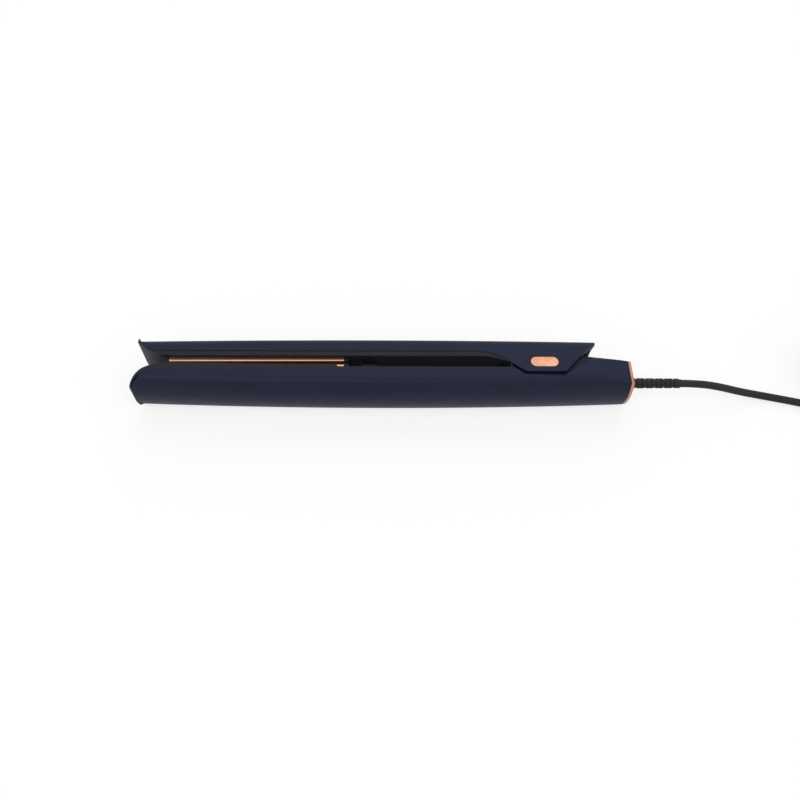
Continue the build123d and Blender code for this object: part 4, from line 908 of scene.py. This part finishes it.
def dwindled(tree, share):
    """1 on the first point, and less by a share on each next one."""
    index = add_node(tree, "GeometryNodeInputIndex").outputs[0]
    return maths(tree, "SUBTRACT", 1.0, maths(tree, "MULTIPLY", index, share))


def relief_tree():
    """Tapered strain relief: a core, rings along it, and bridges that turn from gap to gap."""
    tree, given = start_tree(
        "strain relief",
        Rings=10,
        Pitch=0.0028,
        First_ring=0.0016,
        Ring_radius=0.0031,
        Ring_depth=0.00075,
        Ring_length=0.0017,
        Shrink=0.0078,
        Core_root=0.00262,
        Core_tip=0.00243,
        Core_length=0.03,
        Finish="Material",
    )
    middle_radius = maths(tree, "MULTIPLY_ADD", given["Ring depth"], -0.5, given["Ring radius"])
    section = add_node(
        tree,
        "GeometryNodeCurvePrimitiveQuadrilateral",
        {"Width": given["Ring depth"], "Height": given["Ring length"]},
    )
    eased = add_node(
        tree,
        "GeometryNodeFilletCurve",
        {"Curve": section.outputs[0], "Radius": RING_ROUNDING, "Count": 4},
        mode="POLY",
    )
    quarter = (0, math.pi / 2, 0)
    ring = swept(tree, circle(tree, 56, middle_radius), eased.outputs[0], caps=False)
    line = row(tree, given["Rings"], given["Pitch"], given["First ring"])
    size = dwindled(tree, given["Shrink"])
    scale = xyz(tree, X=1.0, Y=size, Z=size)
    rings = on_points(tree, line, moved(tree, ring, Rotation=quarter), Scale=scale)
    gap = maths(tree, "MULTIPLY", given["Pitch"], 0.5)
    bridge = block(tree, BRIDGE_SIZE)
    sides = []
    for way in (1.0, -1.0):
        height = maths(tree, "MULTIPLY", middle_radius, way)
        sides.append(moved(tree, bridge, Translation=xyz(tree, X=gap, Z=height)))
    index = add_node(tree, "GeometryNodeInputIndex").outputs[0]
    spin = xyz(tree, X=maths(tree, "MULTIPLY", index, math.pi / 2))
    bridges = on_points(tree, line, joined(tree, *sides), Rotation=spin, Scale=scale)
    core = cone(tree, 48, given["Core root"], given["Core tip"], given["Core length"])
    return end_tree(tree, joined(tree, rings, bridges, moved(tree, core, Rotation=quarter)))


# Shells: each back is one smooth arch with rounded shoulders, bent to a long shallow crown
def arch_foot(rise, side):
    """Nearest point of the arched section and its outward direction, both as rise and side."""
    shoulder_side = HALF_WIDTH - SHOULDER_RADIUS
    reach = ARCH_RADIUS - SHOULDER_RADIUS
    at = Vector((rise, side))
    middle = Vector((-ARCH_RADIUS, 0))
    shoulder = Vector(
        (middle.x + math.sqrt(reach**2 - shoulder_side**2), math.copysign(shoulder_side, side))
    )
    out = at - middle
    if abs(out.y) < out.length * shoulder_side / reach and out.x > 0:
        return middle + ARCH_RADIUS * out.normalized(), out.normalized()
    if rise > shoulder.x:
        out = (at - shoulder).normalized()
        return shoulder + SHOULDER_RADIUS * out, out
    return Vector((rise, math.copysign(HALF_WIDTH, side))), Vector((0, math.copysign(1, side)))


def bent_back(crown, crown_radius, way):
    """Rise above an arm's long crown, and the direction it rises in; way is the back's side."""

    def rise_at(along, across):
        off = Vector((along - BODY_MIDDLE, across - crown + way * crown_radius))
        return off.length - crown_radius, off.normalized()

    return rise_at


def sloped_back(along, across):
    """Rise above the housing's straight crown, and the direction it rises in."""
    up = Vector((math.sin(HOUSING_SLOPE), math.cos(HOUSING_SLOPE)))
    return Vector((along - HOUSING_CROWN_AT, across - HOUSING_CROWN)).dot(up), up


def back_foot(at, rise_at):
    """Nearest point of a shell's back to a point in metres, and the outward direction there."""
    along = at.x * 1000 + ALONG_MIDDLE
    across = at.y * 1000 + ACROSS_MIDDLE
    rise, up = rise_at(along, across)
    foot, out = arch_foot(rise, at.z * 1000 - SIDE_MIDDLE)
    moved_to = Vector((along, across)) + (foot.x - rise) * up
    outward = Vector((out.x * up.x, out.x * up.y, out.y))
    return place(moved_to.x, moved_to.y, foot.y + SIDE_MIDDLE), outward


def off_taper(at):
    """Millimetres by which a point in metres stands outside the housing's drawn-in flats."""
    drawn_in = (at.x * 1000 + ALONG_MIDDLE - TAPER_AT) * math.tan(TAPER_TURN)
    return abs(at.z * 1000 - SIDE_MIDDLE) - HALF_WIDTH + drawn_in


def taper_lean(side):
    """Outward direction of one of the housing's drawn-in flats; side is below or above 0."""
    return Vector((math.sin(TAPER_TURN), 0, math.copysign(math.cos(TAPER_TURN), side)))


def on_taper(face):
    """Whether a facet lies on one of the housing's two drawn-in flats."""
    off = max(abs(off_taper(corner.co)) for corner in face.verts)
    return abs(face.normal.z) > TAPER_FACING and off < TAPER_OFF


def crease_foot(at, rise_at):
    """Place near a point where a shell's back and the housing's drawn-in flat meet."""
    for _ in range(CREASE_ROUNDS):
        at = back_foot(at, rise_at)[0]
        lean = taper_lean(at.z - SIDE_MIDDLE / 1000)
        at = at - lean * off_taper(at) * math.cos(TAPER_TURN) / 1000
    return at


def on_back(face, rise_at):
    """Whether a facet lies on a shell's rounded back or its flat sides."""
    if on_taper(face):
        return False
    if max((back_foot(v.co, rise_at)[0] - v.co).length for v in face.verts) >= CORNER_OFF:
        return False
    middle = face.calc_center_median()
    foot, out = back_foot(middle, rise_at)
    agrees = face.normal.dot(out)
    return agrees > BACK_FACING or (agrees > 0 and (foot - middle).length < FACET_OFF)


def triangulate(shape):
    """Cut every facet with more than three corners into triangles."""
    bmesh.ops.triangulate(shape, faces=[face for face in shape.faces if len(face.verts) > 3])


def coarse_edges(shape, rise_at):
    """Edges of a shell's back that turn too far or are too long for a curve."""
    chosen = set()
    for face in shape.faces:
        if not on_back(face, rise_at):
            continue
        for edge in face.edges:
            first, last = (back_foot(v.co, rise_at)[1] for v in edge.verts)
            curved = max(abs(first.y), abs(last.y)) > CURVED
            if first.angle(last) > FACET_TURN or (curved and edge.calc_length() > FACET_LENGTH):
                chosen.add(edge)
    return list(chosen)


def fair(node, name, body, rise_at):
    """Copy of a shell with more facets on its back, each new corner on the true arch."""
    shape = bmesh.new()
    shape.from_mesh(nodes[node].data)
    bmesh.ops.remove_doubles(shape, verts=shape.verts, dist=SHELL_WELD)
    bmesh.ops.dissolve_degenerate(shape, dist=SLIVER, edges=shape.edges)
    triangulate(shape)
    for _ in range(FAIRING_ROUNDS):
        edges = coarse_edges(shape, rise_at)
        if not edges:
            break
        for corner in bmesh.ops.subdivide_edges(shape, edges=edges, cuts=1)["geom_inner"]:
            if isinstance(corner, bmesh.types.BMVert):
                if any(on_taper(face) for face in corner.link_faces):
                    corner.co = crease_foot(corner.co, rise_at)
                else:
                    corner.co = back_foot(corner.co, rise_at)[0]
        triangulate(shape)
    bmesh.ops.dissolve_degenerate(shape, dist=SHELL_WELD, edges=shape.edges)
    triangulate(shape)
    shape.faces.index_update()
    backs = [on_back(face, rise_at) for face in shape.faces]
    tapers = [on_taper(face) for face in shape.faces]
    for face in shape.faces:
        face.smooth = True
    for edge in shape.edges:
        # the housing's drawn-in flats start on a crease
        creased = len({tapers[face.index] for face in edge.link_faces}) == 2
        edge.smooth = not creased and edge.calc_face_angle(0) < SHARP_TURN
    mesh = mesh_of(shape, name)
    directions = [Vector(corner.vector) for corner in mesh.corner_normals]
    for face in mesh.polygons:
        for loop in face.loop_indices:
            if backs[face.index]:
                at = mesh.vertices[mesh.loops[loop].vertex_index].co
                directions[loop] = back_foot(at, rise_at)[1]
            elif tapers[face.index]:
                directions[loop] = taper_lean(face.normal.z)
    mesh.normals_split_custom_set([tuple(d) for d in directions])
    made = plain(name, mesh, lacquer, body)
    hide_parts(node)


lower_back = bent_back(LOWER_CROWN, LOWER_CROWN_RADIUS, -1)
upper_back = bent_back(UPPER_CROWN, UPPER_CROWN_RADIUS, 1)
fair("lower_shell", "lower_shell_lacquered", "lower_arm", lower_back)
fair("upper_shell", "upper_shell_lacquered", "upper_arm", upper_back)
fair("rear_cover", "rear_cover_lacquered", "lower_arm", sloped_back)


# Seam between the lower shell and the rear cover, drawn as a strip of painted shadow, a dark line
# on both flat sides
def paint_seam_shadow():
    """Thin dark strip of painted shadow along the seam on each flat side, bent where the housing
    is drawn in.
    """
    half = SEAM_WIDTH / 2
    section = ((-half, SEAM_PROUD), (half, SEAM_PROUD), (half, -SEAM_DEPTH), (-half, -SEAM_DEPTH))
    shape = bmesh.new()
    for way in (-1, 1):
        rings = []
        for along in (SEAM_START, TAPER_AT, HOUSING_END):
            flat = HALF_WIDTH - max(0, along - TAPER_AT) * math.tan(TAPER_TURN)
            corners = [
                place(along, PARTING + aside, SIDE_MIDDLE + way * (flat + lift))
                for aside, lift in section
            ]
            rings.append([shape.verts.new(corner) for corner in corners])
        for first, last in zip(rings, rings[1:]):
            wall(shape, first, last)
        shape.faces.new(rings[0])
        shape.faces.new(rings[-1])
    # the strip is dressed in the dark nylon to paint the shade that falls in the seam's gap
    from_shape("housing_seam", shape, nylon, "lower_arm")


paint_seam_shadow()


# Strain relief, ribbed, on the swivel
def ribbed_relief():
    """Mesh of the strain relief with the barrel inside the housing."""
    mesh = grow(relief_tree(), "strain_relief_ribbed", Finish=plug_pvc)
    mesh.transform(Matrix.Translation(place(RELIEF_ROOT_AT, LEAD_MIDDLE, SIDE_MIDDLE)))
    shape = bmesh.new()
    shape.from_mesh(mesh)
    barrel = bmesh.ops.create_cone(
        shape,
        cap_ends=True,
        segments=40,
        radius1=BARREL_RADIUS / 1000,
        radius2=BARREL_RADIUS / 1000,
        depth=BARREL_LENGTH / 1000,
    )["verts"]
    bmesh.ops.rotate(shape, verts=barrel, matrix=Matrix.Rotation(math.pi / 2, 3, "Y"))
    along = RELIEF_ROOT_AT - BARREL_LENGTH / 2 + BARREL_OVERLAP
    bmesh.ops.translate(shape, verts=barrel, vec=place(along, LEAD_MIDDLE, SIDE_MIDDLE))
    shape.to_mesh(mesh)
    shape.free()
    return smooth(mesh)


strain_relief = plain("strain_relief_ribbed", ribbed_relief(), plug_pvc, "swivel")
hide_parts("strain_relief")


# Screws, cold headed, with a cross recess and a rolled thread
def screw_tree():
    """Screws on points: head, cross recess, shank and thread, each turned by chance."""
    tree, given = start_tree(
        "screws",
        Points="Geometry",
        Head_radius=0.0025,
        Head_height=0.001,
        Shank_radius=0.00125,
        Shank_length=0.007,
        Thread_pitch=0.001,
        Thread_depth=0.0003,
        Recess_width=0.0007,
        Recess_length=0.0028,
        Facing=0.0,
        Seed=1,
        Finish="Material",
    )
    top_radius = maths(tree, "MULTIPLY", given["Head radius"], HEAD_TAPER)
    head = cone(tree, 40, given["Head radius"], top_radius, given["Head height"])
    cut = add_node(tree, "GeometryNodeMeshBoolean", {"Mesh 1": head}, operation="DIFFERENCE")
    # one bar ends a hair above the other, so that the cut stays clean where they cross
    for first, second, share in (("width", "length", 1.0), ("length", "width", BAR_SHARE)):
        height = maths(tree, "MULTIPLY", given["Head height"], share)
        size = xyz(tree, X=given["Recess " + first], Y=given["Recess " + second], Z=height)
        up = xyz(tree, Z=given["Head height"])
        tree.links.new(moved(tree, block(tree, size), Translation=up), cut.inputs["Mesh 2"])
    length = given["Shank length"]
    shank = add_node(
        tree,
        "GeometryNodeMeshCylinder",
        {
            "Vertices": 20,
            "Radius": maths(tree, "SUBTRACT", given["Shank radius"], given["Thread depth"]),
            "Depth": length,
        },
    ).outputs[0]
    hung = moved(tree, shank, Translation=xyz(tree, Z=maths(tree, "MULTIPLY", length, -0.5)))
    turns = maths(tree, "DIVIDE", length, given["Thread pitch"])
    radius = maths(tree, "MULTIPLY_ADD", given["Thread depth"], -0.5, given["Shank radius"])
    coil = add_node(
        tree,
        "GeometryNodeCurveSpiral",
        {
            "Resolution": 16,
            "Rotations": maths(tree, "MULTIPLY", turns, THREAD_SHARE),
            "Start Radius": radius,
            "End Radius": radius,
            "Height": maths(tree, "MULTIPLY", length, -THREAD_SHARE),
        },
    ).outputs[0]
    tooth = circle(tree, 3, maths(tree, "MULTIPLY", given["Thread depth"], TOOTH_SHARE))
    screw = joined(tree, cut.outputs[0], hung, swept(tree, coil, tooth))
    # the mesh is made along Z, and a screw stands along Y
    stood = moved(tree, screw, Rotation=(-math.pi / 2, 0, 0))
    spin = add_node(
        tree,
        "FunctionNodeRandomValue",
        {2: 0.0, 3: FULL_TURN, "Seed": given["Seed"]},
        data_type="FLOAT",
    ).outputs[1]
    turned = xyz(tree, X=given["Facing"], Y=spin)
    return end_tree(tree, on_points(tree, given["Points"], stood, Rotation=turned))


screws = screw_tree()
for name, node, body, facing, places in (
    ("lower_screws_turned", "lower_screws", "lower_arm", 0.0, LOWER_SCREWS),
    ("upper_screws_turned", "upper_screws", "upper_arm", math.pi, UPPER_SCREWS),
):
    seats = [place(along, across, SIDE_MIDDLE) for along, across in places]
    made = grown(screws, name, zinc, body, "steel", seats, Facing=facing, Seed=SCREW_SEED)
    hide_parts(node)


# Hinge spring: round wire, four turns and two legs
def wind_spring():
    """The spring as one round wire."""
    coil = []
    for n in range(SPRING_POINTS + 1):
        turn = math.radians(SPRING_FIRST + (SPRING_LAST - SPRING_FIRST) * n / SPRING_POINTS)
        up = SPRING_LOW + (SPRING_HIGH - SPRING_LOW) * n / SPRING_POINTS
        along = PIVOT_ALONG + SPRING_RADIUS * math.cos(turn)
        across = PIVOT_ACROSS + SPRING_RADIUS * math.sin(turn)
        coil.append((along, across, up))
    legs = []
    ends = ((coil[0], SPRING_FIRST, -FIXED_LEG), (coil[-1], SPRING_LAST, MOVING_LEG))
    for foot, degrees, reach in ends:
        turn = math.radians(degrees)
        legs.append((foot[0] - math.sin(turn) * reach, foot[1] + math.cos(turn) * reach, foot[2]))
    points = [place(*at) for at in (legs[0], *coil, legs[1])]
    line = round_line("hinge_spring_wire", "POLY", points, SPRING_WIRE / 2000, 3)
    host = new_object("hinge spring line", line)
    return smooth(as_mesh(host, host, "hinge_spring_wire"))


spring = new_object("hinge_spring_wire", wind_spring())
dress(spring, steel)
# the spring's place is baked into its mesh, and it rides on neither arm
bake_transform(spring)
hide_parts("hinge_spring")


# Cushions, copied in silicone, each riding on its arm
for arm, way in (("lower", -1), ("upper", 1)):
    node = arm + "_cushions"
    low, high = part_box(node)
    mesh = nodes[node].data.copy()
    cushions = plain(arm + "_cushions_silicone", mesh, red_silicone, arm + "_arm")
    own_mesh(cushions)
    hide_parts(node)


# Plug: grip ribs on both broad faces, turned pins with round ends, sleeves at their roots
def pin_tree():
    """Rods on points, each running from its point towards -X to a rounded end."""
    tree, given = start_tree(
        "pins",
        Points="Geometry",
        Radius=0.002,
        Length=0.019,
        Rounding=0.001,
        Finish="Material",
    )
    far_end = xyz(tree, X=maths(tree, "MULTIPLY", given["Length"], -1.0))
    steps = add_node(
        tree,
        "GeometryNodeResampleCurve",
        {"Curve": straight(tree, xyz(tree), far_end), "Count": 96},
        mode="COUNT",
    )
    spot = add_node(tree, "GeometryNodeInputPosition").outputs[0]
    along = add_node(tree, "ShaderNodeSeparateXYZ", {0: spot}).outputs["X"]
    left = maths(tree, "ADD", given["Length"], along)
    near = maths(tree, "MINIMUM", left, given["Rounding"])
    bend = maths(tree, "SUBTRACT", 1.0, maths(tree, "DIVIDE", near, given["Rounding"]))
    level = maths(tree, "SUBTRACT", 1.0, maths(tree, "MULTIPLY", bend, bend))
    drop = maths(tree, "SUBTRACT", 1.0, maths(tree, "SQRT", level))
    share = maths(tree, "DIVIDE", given["Rounding"], given["Radius"])
    size = maths(tree, "SUBTRACT", 1.0, maths(tree, "MULTIPLY", share, drop))
    inputs = {"Curve": steps.outputs[0], "Radius": size}
    sized = add_node(tree, "GeometryNodeSetCurveRadius", inputs).outputs[0]
    turned = swept(tree, sized, circle(tree, 40, given["Radius"]))
    return end_tree(tree, on_points(tree, given["Points"], turned))


pin_low, pin_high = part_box("plug_pins")
pin_up = (pin_low.z + pin_high.z) / 2
pin_radius = (pin_high.z - pin_low.z) / 2
pin_sides = (pin_low.y + pin_radius, pin_high.y - pin_radius)
pin_roots = [(pin_high.x, side, pin_up) for side in pin_sides]
pins = pin_tree()
sizes = {
    "Radius": pin_radius,
    "Length": pin_high.x - pin_low.x,
    "Rounding": pin_radius * PIN_ROUNDING,
}
plug_pins = grown(pins, "plug_pins_turned", nickel, "lower_arm", "pin", pin_roots, **sizes)
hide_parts("plug_pins")
sizes = {
    "Radius": pin_radius + SLEEVE_WALL / 1000,
    "Length": SLEEVE_LENGTH / 1000,
    "Rounding": SLEEVE_WALL / 1000,
}
pin_sleeves = grown(pins, "plug_pin_sleeves", plug_pvc, "lower_arm", "plug", pin_roots, **sizes)


def rib_tree():
    """Half-round ribs in a row along X, each shorter than the one before."""
    tree, given = start_tree(
        "grip ribs",
        Points="Geometry",
        Ribs=5,
        Pitch=0.0025,
        Length=0.018,
        Radius=0.0006,
        Proud=0.5,
        Shorten=0.1,
        Finish="Material",
    )
    half = maths(tree, "MULTIPLY", given["Length"], 0.5)
    start, end = (xyz(tree, Y=maths(tree, "MULTIPLY", half, way)) for way in (-1.0, 1.0))
    rib = swept(tree, straight(tree, start, end), circle(tree, 16, given["Radius"]))
    scale = xyz(tree, X=1.0, Y=dwindled(tree, given["Shorten"]), Z=given["Proud"])
    ribs = on_points(tree, row(tree, given["Ribs"], given["Pitch"]), rib, Scale=scale)
    return end_tree(tree, on_points(tree, given["Points"], ribs))


plug_low, plug_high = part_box("plug_body")
plug_side = (plug_low.y + plug_high.y) / 2
rib_at = plug_low.x + PLUG_SHOULDER / 1000
rib_rows = [(rib_at, plug_side, corner.z) for corner in (plug_low, plug_high)]
grip_ribs = grown(rib_tree(), "plug_grip_ribs", plug_pvc, "lower_arm", "plug", rib_rows)
